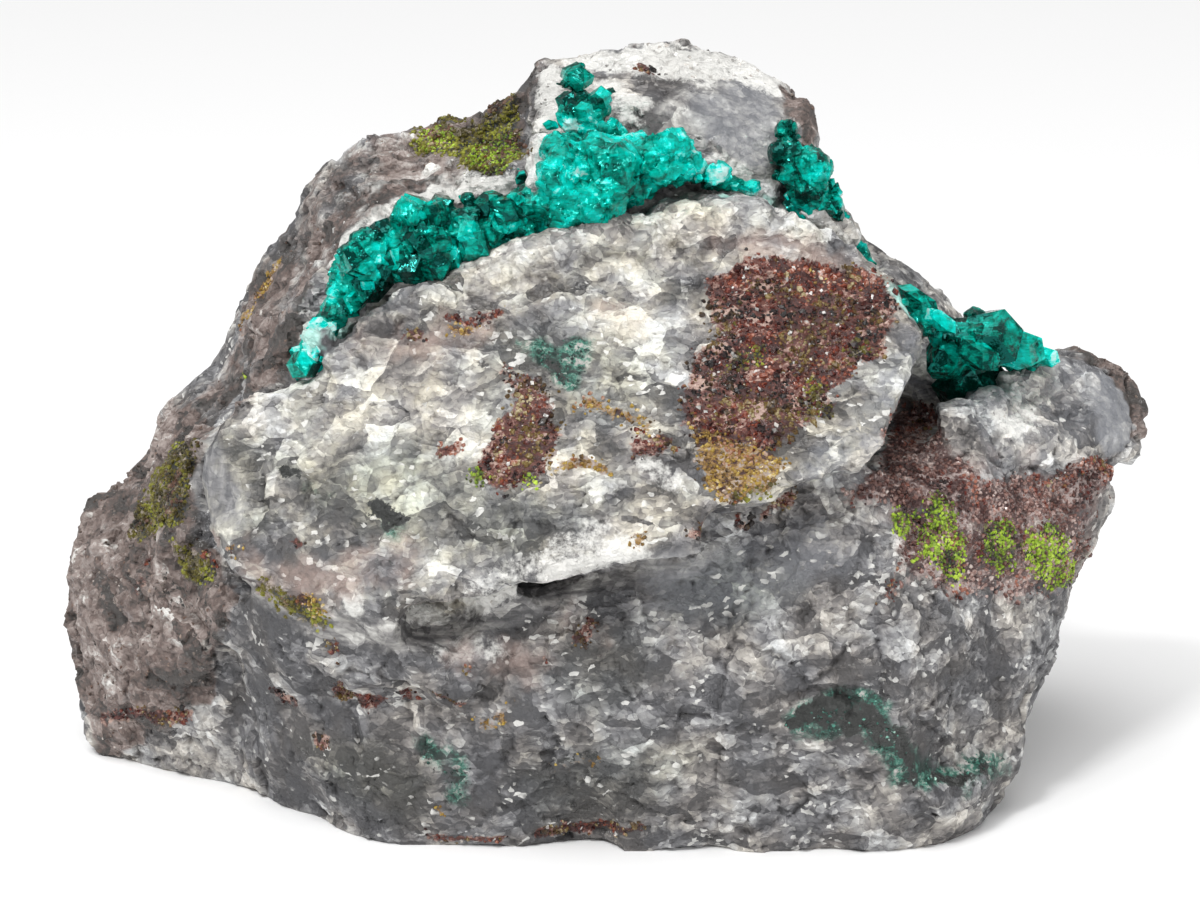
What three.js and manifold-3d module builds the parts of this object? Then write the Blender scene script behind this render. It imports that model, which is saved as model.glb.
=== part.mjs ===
// A dioptase specimen: a broken block of pale calcite and quartz with a crusted, weathered back,
// and a seam of emerald-green dioptase crystals along the top of the slab that stands out in front.
//
// Frame: millimetres, +Z up, +X to the right and +Y away from whoever looks at the slab.
// The block is one solid, cut flat underneath where it stands. Each seam of crystals is a solid
// of its own, seated in a groove of the block with a small gap all round.

import * as THREE from "three";
import { ConvexGeometry } from "three/addons/geometries/ConvexGeometry.js";
import { ConvexHull } from "three/addons/math/ConvexHull.js";
import { ImprovedNoise } from "three/addons/math/ImprovedNoise.js";
import { SimplifyModifier } from "three/addons/modifiers/SimplifyModifier.js";
import { mergeVertices } from "three/addons/utils/BufferGeometryUtils.js";
import Module from "manifold-3d";

// Driving dimensions, in millimetres.
const CELL = 1.8; // spacing of the grid that the block's surface is drawn from
const KEPT_SHARE = 0.35; // how much of that surface's detail is kept
const SEAT_GAP = 0.35; // between the crystals and the block
const CHIP = 6.5; // size of the flat breaks on the block
const CHIP_SHARE = 0.75; // how flat a break is, from 0 to 1
const RELIEF = 0.9; // height of the coarse relief on a chunk whose rough is 1
const WELD = 1.0; // how softly two chunks run into each other
const CUT_HEIGHT = 0.05; // where the flat underside is cut

// Chunks of the block. Each is the convex hull of its corners [x, y, z], and rough is its relief.
const CHUNKS = {
  footing: {
    rough: 1,
    corners: [
      [-29.4, -5.5, -1], [-23.8, -11, -1], [-18.5, -16, -1], [-12, -15.5, -1], [-4.8, -15.5, -1],
      [3.2, -15, -1], [13.7, -16.5, -1], [21.5, -18, -1], [27.2, -17, -1], [30.6, -14, -1],
      [32, -2, -1], [30, 14, -1], [10, 20, -1], [-14, 19, -1], [-28, 12, -1],
      [-28.6, -10, 9.9], [-17.3, -18, 12.8], [-7.8, -20, 11.9], [7.7, -21, 13.9], [24, -20, 13.5],
      [33.6, -10, 3.8], [37.8, -5, 13.3], [-29.5, -12, 19.4], [-14, -19, 18.1], [0, -19, 20.6],
      [15.5, -18, 24.3], [21.8, -15, 30], [32.1, -9, 28.5], [41.9, -2, 25.4], [42.9, 3, 25],
      [42, 3, 19.6], [38.3, 0, 11.6], [35.4, -4, 5], [43, 8, 24], [38, 18, 20], [20, 24, 18],
      [-10, 24, 18], [-28, 20, 18], [36, 14, 29], [20, 20, 33], [-10, 20, 33], [-28, 14, 30],
    ],
  },
  flank: {
    rough: 1.2,
    corners: [
      [-43.6, 4, -1], [-35.8, 1, -1], [-30, -4, -1], [-30, 12, -1], [-41, 12, -1],
      [-47.4, 8, 10], [-47.2, 8, 14], [-46.5, 9, 16.8], [-45.6, 10, 18.8], [-43.8, 11, 21.9],
      [-40.2, 11, 25], [-36.5, 11, 29], [-32.9, 11, 33.3], [-46.4, 5, 12], [-37.7, -4, 12],
      [-33, -8, 15], [-33.5, -7, 24], [-31, -6, 30], [-26, -4, 33], [-44, 16, 12], [-36, 20, 18],
      [-28, 20, 32], [-24, 8, 36], [-22, -5, -1], [-22, 14, -1], [-20, 14, 33], [-20, -4, 30],
    ],
  },
  shoulder: {
    rough: 1,
    corners: [
      [-33.6, 11, 33.8], [-30.2, 13, 40.8], [-26.8, 13, 44.6], [-23.1, 13, 50], [-21, 12, 52.2],
      [-18.9, 12, 52.8], [-15.3, 12, 53.2], [-12, 13, 54.2], [-8.5, 13, 55.6], [-17.6, 8, 51.8],
      [-23, 4, 45], [-24.8, -5, 38.9], [-21.5, -1, 45.5], [-16.4, 2, 48.8], [-10.6, 2, 49.4],
      [-6.5, 2, 51.8], [-30, 20, 34], [-20, 21, 44], [-5, 18, 51], [-30, -5, 31], [0, 2, 40],
      [-5, 22, 30],
    ],
  },
  peak: {
    rough: 0.6,
    corners: [
      [-8.4, 12, 56], [-6.8, 12, 58], [-4.8, 11, 59.4], [-1.7, 12, 59.5], [5.1, 13, 60], [7.6, 13, 60.8],
      [9.5, 13, 60], [12.2, 12, 59], [15.9, 11, 58], [17.8, 9, 56.3], [18.7, 7, 52.6],
      [15.4, 3, 53.2], [14.7, 1, 48.8], [7.3, 1, 53], [3.3, 2.4, 56.4], [-3.3, 3.4, 56.4],
      [-4.9, 3, 54], [-4.5, 2, 50], [8.2, 6, 58], [5, 0, 44], [18, 2, 44], [-4, 19, 50],
      [8, 19, 53], [16, 17, 49], [19, 12, 44], [0, 20, 36],
    ],
  },
  back: {
    rough: 1,
    corners: [
      [-30, 19, 33], [-22, 20, 43], [-5, 19, 51.5], [8, 19, 53], [16, 17, 49], [21, 17, 41],
      [27, 17, 33], [30, 20, 22], [0, 25, 26], [-26, 22, 22], [-12, 12, 50], [12, 12, 52],
      [0, 5, 30],
    ],
  },
  slab: {
    rough: 0.45,
    corners: [
      [-32.5, -12, 29.1], [-31.6, -13, 26.1], [-28.1, -17, 22.8], [-19.2, -21, 21.4],
      [-12.9, -23.5, 21.1], [-3, -24.5, 24.9], [3, -24.5, 27.2], [10.6, -23, 28.1],
      [15.2, -21, 30.4], [22.2, -18, 33.9], [25.5, -15, 37.1], [26.7, -12, 40], [24.1, -8, 44],
      [22.3, -6, 45.2], [20, -5, 47.4], [15.3, -3, 48.7], [8.1, -1, 50.8], [3.2, -4, 48.5],
      [-3.2, -6, 46.8], [-7.9, -7, 45.9], [-12.7, -8, 44.8], [-17, -9, 43], [-21.3, -10, 38.7],
      [-24.1, -10, 36.7], [-30.5, -11, 33.3], [-25, 0, 28], [-15, 2, 22], [0, 4, 26],
      [20, 4, 34], [20, 2, 42], [0, 4, 42],
    ],
  },
  underlayer: {
    rough: 0.7,
    corners: [
      [-30.5, -11, 21], [-27, -14.5, 14.5], [-18, -19.8, 14], [-10, -20.8, 14], [-7, -20.4, 16],
      [-15, -20, 18.6], [-24, -17.5, 20.8], [-20, -5, 8], [-22, -5, 24], [-2, -8, 20],
    ],
  },
  ridge: {
    rough: 0.7,
    corners: [
      [17.5, 7, 50.5], [19.8, 6, 45.2], [22.6, 4, 41], [24.6, 2, 38.8], [28, 0, 36],
      [33.3, 2, 35], [27.8, -3, 34.6], [16, 12, 49], [20, 15, 43], [26, 14, 34], [33, 8, 31],
      [24, 20, 30], [15, 0, 38], [28, 0, 30], [33, 6, 35.8], [29, 5, 38.2],
    ],
  },
  knob: {
    rough: 0.5,
    corners: [
      [45.8, 4, 31.6], [45.4, 2, 28.6], [44.6, 6, 34], [42.7, 8, 34.8], [39.5, 9, 34.9],
      [38.6, 3, 35.8], [32.8, -2, 34.2], [28.5, -6, 34], [28.9, -9, 29.1], [37.6, -5, 27.9],
      [42.8, 2, 25.1], [43.7, 6, 24.9], [42, 16, 26], [32, 14, 29], [30, 8, 22],
    ],
  },
};

// Seams of dioptase. A branch is a line of points [x, y, z, half width]; crystal is the usual
// radius of the crystals and count is how many there are.
const SEAMS = {
  dioptase_main_seam: {
    crystal: 1.6,
    count: 42,
    branches: [
      [
        [-23.5, -9.3, 38.1, 1.4], [-21.9, -7.8, 40.7, 1.9], [-19.8, -5.8, 44.2, 2.9],
        [-16.4, -4.6, 46.5, 3.2], [-12.8, -4.2, 47.4, 2.8], [-9.6, -3.8, 47.6, 2.7],
        [-6.6, -3.3, 49, 2.9], [-3.2, -2.7, 50.6, 3.7], [0, -2.2, 51.4, 4.0],
        [3.2, -1.8, 51.9, 3.4], [6.9, -1.2, 52.2, 2.2], [10.1, -0.8, 51.1, 1.5],
        [12.7, -0.4, 49.9, 1.1],
      ],
      [[-0.6, -0.6, 53.4, 2.4], [-0.8, 1.6, 56.3, 1.7], [-1.8, 3, 58.7, 1.3]],
    ],
  },
  dioptase_right_seam: {
    crystal: 1.2,
    count: 10,
    branches: [
      [
        [15.2, 3, 54.6, 1.2], [16, 2.2, 51.9, 1.6], [17.4, 1.8, 49.2, 2.3], [19.4, 3, 47.4, 1.9],
        [20.9, 3, 45.4, 1.5], [22.4, 2.4, 43.6, 1.1],
      ],
    ],
  },
  dioptase_right_cluster: {
    crystal: 1.7,
    count: 11,
    branches: [
      [
        [25.2, -6, 42, 1.2], [26.7, -5.2, 39.8, 1.6], [29.3, -3.2, 38, 2.3], [31.6, -1.4, 37.8, 2.4],
        [33.6, -0.8, 36.9, 1.9], [36.6, 0.6, 36, 1.2],
      ],
    ],
  },
};
const OUTWARD = [0, -0.75, 0.66]; // the way that the seams open
const SPREAD = 0.45; // how far a crystal leans from the middle of its seam
const CORE_SHARE = 0.72; // size of the massive dioptase under the crystals, of the seam's half width
const TIP_LONG = 1.233; // drop of a crystal's end faces at three of its sides, for a radius of 1
const TIP_SHORT = 0.617; // and at the other three

// The room that the block's surface is drawn in.
const LOW = [-52, -29, -6];
const HIGH = [51, 30, 66];

// Numbers that look random but are the same each time.
function dice(seed) {
  let state = seed >>> 0;
  return () => {
    state = (Math.imul(state, 1664525) + 1013904223) >>> 0;
    return state / 4294967296;
  };
}

// The flat sides of a convex chunk: unit normals that point out, and their distances from the origin.
function sides(corners) {
  const hull = new ConvexHull().setFromPoints(corners.map((c) => new THREE.Vector3(...c)));
  return hull.faces.map((face) => [face.normal.x, face.normal.y, face.normal.z, face.constant]);
}

const chunks = Object.values(CHUNKS).map(({ rough, corners }) => ({ rough, planes: sides(corners) }));
const branches = Object.values(SEAMS).flatMap((seam) => seam.branches);
const noise = new ImprovedNoise();

// How far a point is outside one chunk; negative inside it.
function outside(planes, x, y, z) {
  let most = -Infinity;
  for (const [a, b, c, d] of planes) most = Math.max(most, a * x + b * y + c * z - d);
  return most;
}

// The smaller of two distances, rounded where they meet.
function welded(a, b) {
  const h = Math.max(WELD - Math.abs(a - b), 0) / WELD;
  return Math.min(a, b) - (h * h * WELD) / 4;
}

// The block before it is chipped: all chunks run together, each with its coarse relief.
function plainBlock(x, y, z) {
  const relief = noise.noise(x / 9, y / 9, z / 9 + 4.2) + 0.5 * noise.noise(x / 4, y / 4, z / 4);
  let nearest = Infinity;
  for (const { rough, planes } of chunks) {
    nearest = welded(nearest, outside(planes, x, y, z) + RELIEF * rough * relief);
  }
  return nearest;
}

// How far a point is from the grooves that the seams lie in; negative inside one.
function fromGroove(x, y, z) {
  let nearest = Infinity;
  for (const branch of branches)
    for (let n = 1; n < branch.length; n++) {
      const [a, b] = [branch[n - 1], branch[n]];
      const along = [b[0] - a[0], b[1] - a[1], b[2] - a[2]];
      const from = [x - a[0], y - a[1], z - a[2]];
      const dot = from[0] * along[0] + from[1] * along[1] + from[2] * along[2];
      const t = Math.max(0, Math.min(1, dot / (along[0] ** 2 + along[1] ** 2 + along[2] ** 2)));
      const apart = Math.hypot(...from.map((value, axis) => value - t * along[axis]));
      nearest = Math.min(nearest, apart - (a[3] + t * (b[3] - a[3])));
    }
  return nearest;
}

// A shuffled grid of points, one in each box of size CHIP, with the plane of the break around each.
const breaks = new Map();
function breakIn(i, j, k) {
  const key = i + "," + j + "," + k;
  if (!breaks.has(key)) {
    const roll = dice(((i + 99) * 73856093) ^ ((j + 99) * 19349663) ^ ((k + 99) * 83492791));
    roll();
    const at = [i, j, k].map((n) => (n + roll()) * CHIP);
    const e = 0.8;
    const slope = [0, 1, 2].map((axis) => {
      const step = [0, 0, 0].map((_, n) => (n === axis ? e : 0));
      const up = plainBlock(at[0] + step[0], at[1] + step[1], at[2] + step[2]);
      const down = plainBlock(at[0] - step[0], at[1] - step[1], at[2] - step[2]);
      return (up - down) / (2 * e);
    });
    breaks.set(key, { at, slope, height: plainBlock(...at) });
  }
  return breaks.get(key);
}

// The block as it stands: near its surface each break is nearly one plane, and the grooves are cut.
function block(x, y, z) {
  const plain = plainBlock(x, y, z);
  if (Math.abs(plain) > CHIP) return Math.max(plain, -fromGroove(x, y, z));
  let closest = null;
  let least = Infinity;
  const [ci, cj, ck] = [x, y, z].map((n) => Math.floor(n / CHIP));
  for (let i = ci - 1; i <= ci + 1; i++)
    for (let j = cj - 1; j <= cj + 1; j++)
      for (let k = ck - 1; k <= ck + 1; k++) {
        const spot = breakIn(i, j, k);
        const [a, b, c] = spot.at;
        const apart = (x - a) ** 2 + (y - b) ** 2 + (z - c) ** 2;
        if (apart < least) [least, closest] = [apart, spot];
      }
  const { at, slope, height } = closest;
  const flat = height + slope[0] * (x - at[0]) + slope[1] * (y - at[1]) + slope[2] * (z - at[2]);
  const broken = plain + CHIP_SHARE * Math.max(-1.5, Math.min(1.5, flat - plain));
  return Math.max(broken, -fromGroove(x, y, z));
}

// Draws the surface where a distance is zero, one corner in each cell of the grid that it crosses.
function surface(distance, low, high) {
  const count = low.map((l, n) => Math.ceil((high[n] - l) / CELL) + 1);
  const at = (i, j, k) => i + count[0] * (j + count[1] * k);
  const value = new Float64Array(count[0] * count[1] * count[2]);
  for (let k = 0; k < count[2]; k++)
    for (let j = 0; j < count[1]; j++)
      for (let i = 0; i < count[0]; i++)
        value[at(i, j, k)] = distance(low[0] + i * CELL, low[1] + j * CELL, low[2] + k * CELL) || 1e-9;
  const corners = [0, 1, 2, 3, 4, 5, 6, 7].map((n) => [n & 1, (n >> 1) & 1, n >> 2]);
  const edges = [];
  for (let a = 0; a < 8; a++) for (const bit of [1, 2, 4]) if (!(a & bit)) edges.push([a, a | bit]);
  fillPinches(value, count, at, corners, edges);

  const positions = [];
  const made = new Map();
  for (let k = 0; k < count[2] - 1; k++)
    for (let j = 0; j < count[1] - 1; j++)
      for (let i = 0; i < count[0] - 1; i++) {
        const v = corners.map(([a, b, c]) => value[at(i + a, j + b, k + c)]);
        const sum = [0, 0, 0];
        let crossings = 0;
        for (const [a, b] of edges) {
          if (v[a] < 0 === v[b] < 0) continue;
          const t = v[a] / (v[a] - v[b]);
          for (let n = 0; n < 3; n++) sum[n] += corners[a][n] + t * (corners[b][n] - corners[a][n]);
          crossings++;
        }
        if (!crossings) continue;
        made.set(at(i, j, k), positions.length / 3);
        [i, j, k].forEach((cell, n) => positions.push(low[n] + (cell + sum[n] / crossings) * CELL));
      }

  const index = [];
  const quad = (a, b, c, d) => index.push(a, b, c, a, c, d);
  for (let k = 1; k < count[2] - 1; k++)
    for (let j = 1; j < count[1] - 1; j++)
      for (let i = 1; i < count[0] - 1; i++) {
        const here = value[at(i, j, k)] < 0;
        for (let n = 0; n < 3; n++) {
          const [p, q] = [(n + 1) % 3, (n + 2) % 3];
          const step = (axis) => [0, 1, 2].map((m) => (m === axis ? 1 : 0));
          const next = step(n);
          const there = value[at(i + next[0], j + next[1], k + next[2])] < 0;
          if (here === there) continue;
          const [u, w] = [step(p), step(q)];
          const ring = [[0, 0], [1, 0], [1, 1], [0, 1]].map(([a, b]) =>
            made.get(at(i - a * u[0] - b * w[0], j - a * u[1] - b * w[1], k - a * u[2] - b * w[2])));
          if (here) quad(...ring);
          else quad(...ring.reverse());
        }
      }
  const geometry = new THREE.BufferGeometry();
  geometry.setAttribute("position", new THREE.Float32BufferAttribute(positions, 3));
  geometry.setIndex(index);
  return geometry;
}

// Fills the odd corner where two sheets of the surface would touch, so that it stays one clean skin.
function fillPinches(value, count, at, corners, edges) {
  const parts = (inside) => {
    const group = inside.map((is, n) => (is ? n : -1));
    for (let round = 0; round < 4; round++)
      for (const [a, b] of edges)
        if (inside[a] && inside[b]) group[a] = group[b] = Math.min(group[a], group[b]);
    return new Set(group.filter((g) => g >= 0)).size;
  };
  for (let changed = true; changed; ) {
    changed = false;
    for (let k = 0; k < count[2] - 1; k++)
      for (let j = 0; j < count[1] - 1; j++)
        for (let i = 0; i < count[0] - 1; i++) {
          const cells = corners.map(([a, b, c]) => at(i + a, j + b, k + c));
          const inside = cells.map((c) => value[c] < 0);
          const open = inside.filter((is) => !is).length;
          if (open === 0 || open === 8) continue;
          if (parts(inside) < 2 && parts(inside.map((is) => !is)) < 2 && !crossed(inside)) continue;
          const shallowest = cells.filter((c) => value[c] >= 0).sort((a, b) => value[a] - value[b])[0];
          value[shallowest] = -0.05;
          changed = true;
        }
  }
}

// True where opposite corners of one face of a cell are inside and the other two are outside.
function crossed(inside) {
  const faces = [[0, 1, 3, 2], [4, 5, 7, 6], [0, 1, 5, 4], [2, 3, 7, 6], [0, 2, 6, 4], [1, 3, 7, 5]];
  return faces.some(([a, b, c, d]) =>
    inside[a] === inside[c] && inside[b] === inside[d] && inside[a] !== inside[b]);
}

const wasm = await Module();
wasm.setup();

// A closed geometry as a solid that can be joined and cut.
function solid(geometry) {
  const bare = geometry.index ? geometry.clone() : geometry;
  for (const name of Object.keys(bare.attributes)) if (name !== "position") bare.deleteAttribute(name);
  const merged = mergeVertices(bare, 1e-5);
  return new wasm.Manifold(new wasm.Mesh({
    numProp: 3,
    vertProperties: new Float32Array(merged.attributes.position.array),
    triVerts: new Uint32Array(merged.index.array),
  }));
}

// The biggest body of a solid: without crumbs, and without closed hollows.
function biggest(made) {
  return made.decompose().sort((a, b) => b.volume() - a.volume())[0];
}

// The block, drawn from its distance moved out by swell, with only the corners that its shape needs.
async function blockSolid(swell) {
  const full = surface((x, y, z) => block(x, y, z) - swell, LOW, HIGH);
  const dropped = Math.floor(full.attributes.position.count * (1 - KEPT_SHARE));
  return solid(await new SimplifyModifier().modify(full, dropped));
}

// A crystal of dioptase: six long sides and three sloping faces at either end.
function crystal(radius, reach) {
  const points = [[0, 0, reach], [0, 0, -reach]];
  for (let n = 0; n < 6; n++) {
    const turn = (n * Math.PI) / 3;
    const [high, low] = n % 2 ? [TIP_SHORT, TIP_LONG] : [TIP_LONG, TIP_SHORT];
    const [x, y] = [radius * Math.cos(turn), radius * Math.sin(turn)];
    points.push([x, y, reach - high * radius], [x, y, low * radius - reach]);
  }
  return new ConvexGeometry(points.map((p) => new THREE.Vector3(...p)));
}

// The massive dioptase under the crystals of a branch: balls of its widths, joined in a chain.
function core(branch) {
  const links = branch.slice(1).map((end, n) => {
    const corners = [branch[n], end].flatMap(([x, y, z, width]) => {
      const ball = new THREE.IcosahedronGeometry(CORE_SHARE * width, 0).translate(x, y, z);
      const place = ball.attributes.position;
      return Array.from({ length: place.count }, (_, k) => new THREE.Vector3().fromBufferAttribute(place, k));
    });
    return solid(new ConvexGeometry(corners));
  });
  return wasm.Manifold.union(links);
}

// The crystals of a seam: they stand all round its branches on the side that is open.
function crystals({ crystal: size, count, branches: lines }, seed) {
  const roll = dice(seed);
  const anyway = () => new THREE.Vector3(roll() - 0.5, roll() - 0.5, roll() - 0.5);
  const out = new THREE.Vector3(...OUTWARD).normalize();
  const sections = lines.flatMap((line) => line.slice(1).map((end, n) => [line[n], end]));
  const widest = Math.max(...sections.flat().map((point) => point[3]));
  const made = [];
  while (made.length < count) {
    const [a, b] = sections[Math.floor(roll() * sections.length)];
    const t = roll();
    const [x, y, z, width] = a.map((value, n) => value + t * (b[n] - value));
    const standing = anyway().normalize();
    if (standing.dot(out) < 0.1 || roll() > 0.4 + (0.6 * width) / widest) continue;
    const radius = Math.min(size * (0.65 + 0.6 * roll()), 0.9 * width);
    const reach = radius * (1.5 + 0.7 * roll());
    const centre = new THREE.Vector3(x, y, z).addScaledVector(standing, Math.max(0, width - 0.5 * reach));
    const pointing = standing.add(anyway().multiplyScalar(2 * SPREAD)).normalize();
    const turn = new THREE.Quaternion().setFromUnitVectors(new THREE.Vector3(0, 0, 1), pointing);
    const body = crystal(radius, reach).rotateZ(roll() * Math.PI);
    made.push(solid(body.applyQuaternion(turn).translate(centre.x, centre.y, centre.z)));
  }
  return wasm.Manifold.union(made);
}

// A named mesh of a solid.
function mesh(name, made, material) {
  const { vertProperties, triVerts } = made.getMesh();
  const geometry = new THREE.BufferGeometry();
  geometry.setAttribute("position", new THREE.BufferAttribute(new Float32Array(vertProperties), 3));
  geometry.setIndex(new THREE.BufferAttribute(new Uint32Array(triVerts), 1));
  geometry.computeVertexNormals();
  const result = new THREE.Mesh(geometry, material);
  result.name = name;
  return result;
}

const calcite = new THREE.MeshStandardMaterial({ color: 0xb9b6b2, roughness: 0.7, metalness: 0 });
const dioptase = new THREE.MeshStandardMaterial({ color: 0x00806c, roughness: 0.15, metalness: 0 });

const ground = solid(new THREE.BoxGeometry(200, 200, 20).translate(0, 0, CUT_HEIGHT - 10));
const rock = biggest((await blockSolid(0)).subtract(ground));
const seat = await blockSolid(SEAT_GAP);

const group = new THREE.Group();
group.add(mesh("calcite_matrix", rock, calcite));
Object.entries(SEAMS).forEach(([name, seam], n) => {
  const grown = wasm.Manifold.union([crystals(seam, n + 5), ...seam.branches.map(core)]);
  group.add(mesh(name, biggest(grown.subtract(seat).subtract(rock)), dioptase));
});

// The origin is the middle of the underside of the box around the whole specimen.
const box = new THREE.Box3().setFromObject(group);
const middle = box.getCenter(new THREE.Vector3());
for (const part of group.children) part.geometry.translate(-middle.x, -middle.y, -box.min.z);

export default group;
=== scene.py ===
"""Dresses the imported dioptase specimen: its rough calcite, its crusts of grains and its crystals.

Lengths are in metres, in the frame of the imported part: +Z up, +X to the right, and +Y away from
the camera. Places on the stone are given as pixels of the 1200 by 900 photograph, and are found
by looking along the photograph's camera until the stone is met.
"""

import logging
import math
import random
from dataclasses import dataclass, field
from enum import Enum

import bmesh
import bpy
import numpy as np
from mathutils import Matrix, Vector, noise
from mathutils.bvhtree import BVHTree
from mathutils.kdtree import KDTree


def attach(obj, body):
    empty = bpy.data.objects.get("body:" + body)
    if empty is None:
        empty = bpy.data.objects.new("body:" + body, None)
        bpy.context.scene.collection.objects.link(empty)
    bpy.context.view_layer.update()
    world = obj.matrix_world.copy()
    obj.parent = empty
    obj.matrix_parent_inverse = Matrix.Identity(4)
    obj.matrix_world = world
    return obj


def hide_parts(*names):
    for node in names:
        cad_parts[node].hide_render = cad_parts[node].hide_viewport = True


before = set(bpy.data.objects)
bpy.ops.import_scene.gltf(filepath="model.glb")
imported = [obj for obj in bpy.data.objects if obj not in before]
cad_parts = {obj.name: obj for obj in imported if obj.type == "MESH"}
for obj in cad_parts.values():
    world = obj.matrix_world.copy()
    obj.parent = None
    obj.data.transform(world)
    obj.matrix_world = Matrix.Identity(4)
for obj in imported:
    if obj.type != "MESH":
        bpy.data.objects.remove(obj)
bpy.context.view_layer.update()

log = logging.getLogger("dioptase specimen")

MM = 0.001
Colour = tuple[float, float, float]
Pixel = tuple[float, float]


class Stain(Enum):
    """The stains, crusts and kinds of stone, each a value from 0 to 1 at every point of the stone. The shaded value
    marks the stone under the slab, which the stone's colour darkens there as painted shade.
    """

    RUST = "rust"
    OCHRE = "ochre"
    LIME = "lime"
    MALACHITE = "malachite"
    BLACK = "black"
    PINK = "pink"
    TEAL = "teal"
    WHITE = "white"
    WEATHERED = "weathered"
    SHADED = "shaded"
    SLAB = "slab"
    CLEAVED = "cleaved"
    BLUE = "blue"
    PURPLE = "purple"
    OLIVE = "olive"
    CLEAR = "clear"


@dataclass(frozen=True)
class Patch:
    """One stain along a line over the stone.

    Args:
        stain: which stain it is.
        spots: pixels of the photograph that the line runs through.
        radius: how far it reaches from the line, in mm.
        strength: the stain's value on the line.
    """

    stain: Stain
    spots: tuple[Pixel, ...]
    radius: float
    strength: float = 1.0


@dataclass(frozen=True)
class Area:
    """One stain that fills an outline on the side of the stone that the photograph shows.

    Args:
        stain: which stain it is.
        outline: pixels of the photograph round it.
        blur: how wide its edge is, in mm.
        strength: the stain's value inside.
    """

    stain: Stain
    outline: tuple[Pixel, ...]
    blur: float = 1.2
    strength: float = 1.0


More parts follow.
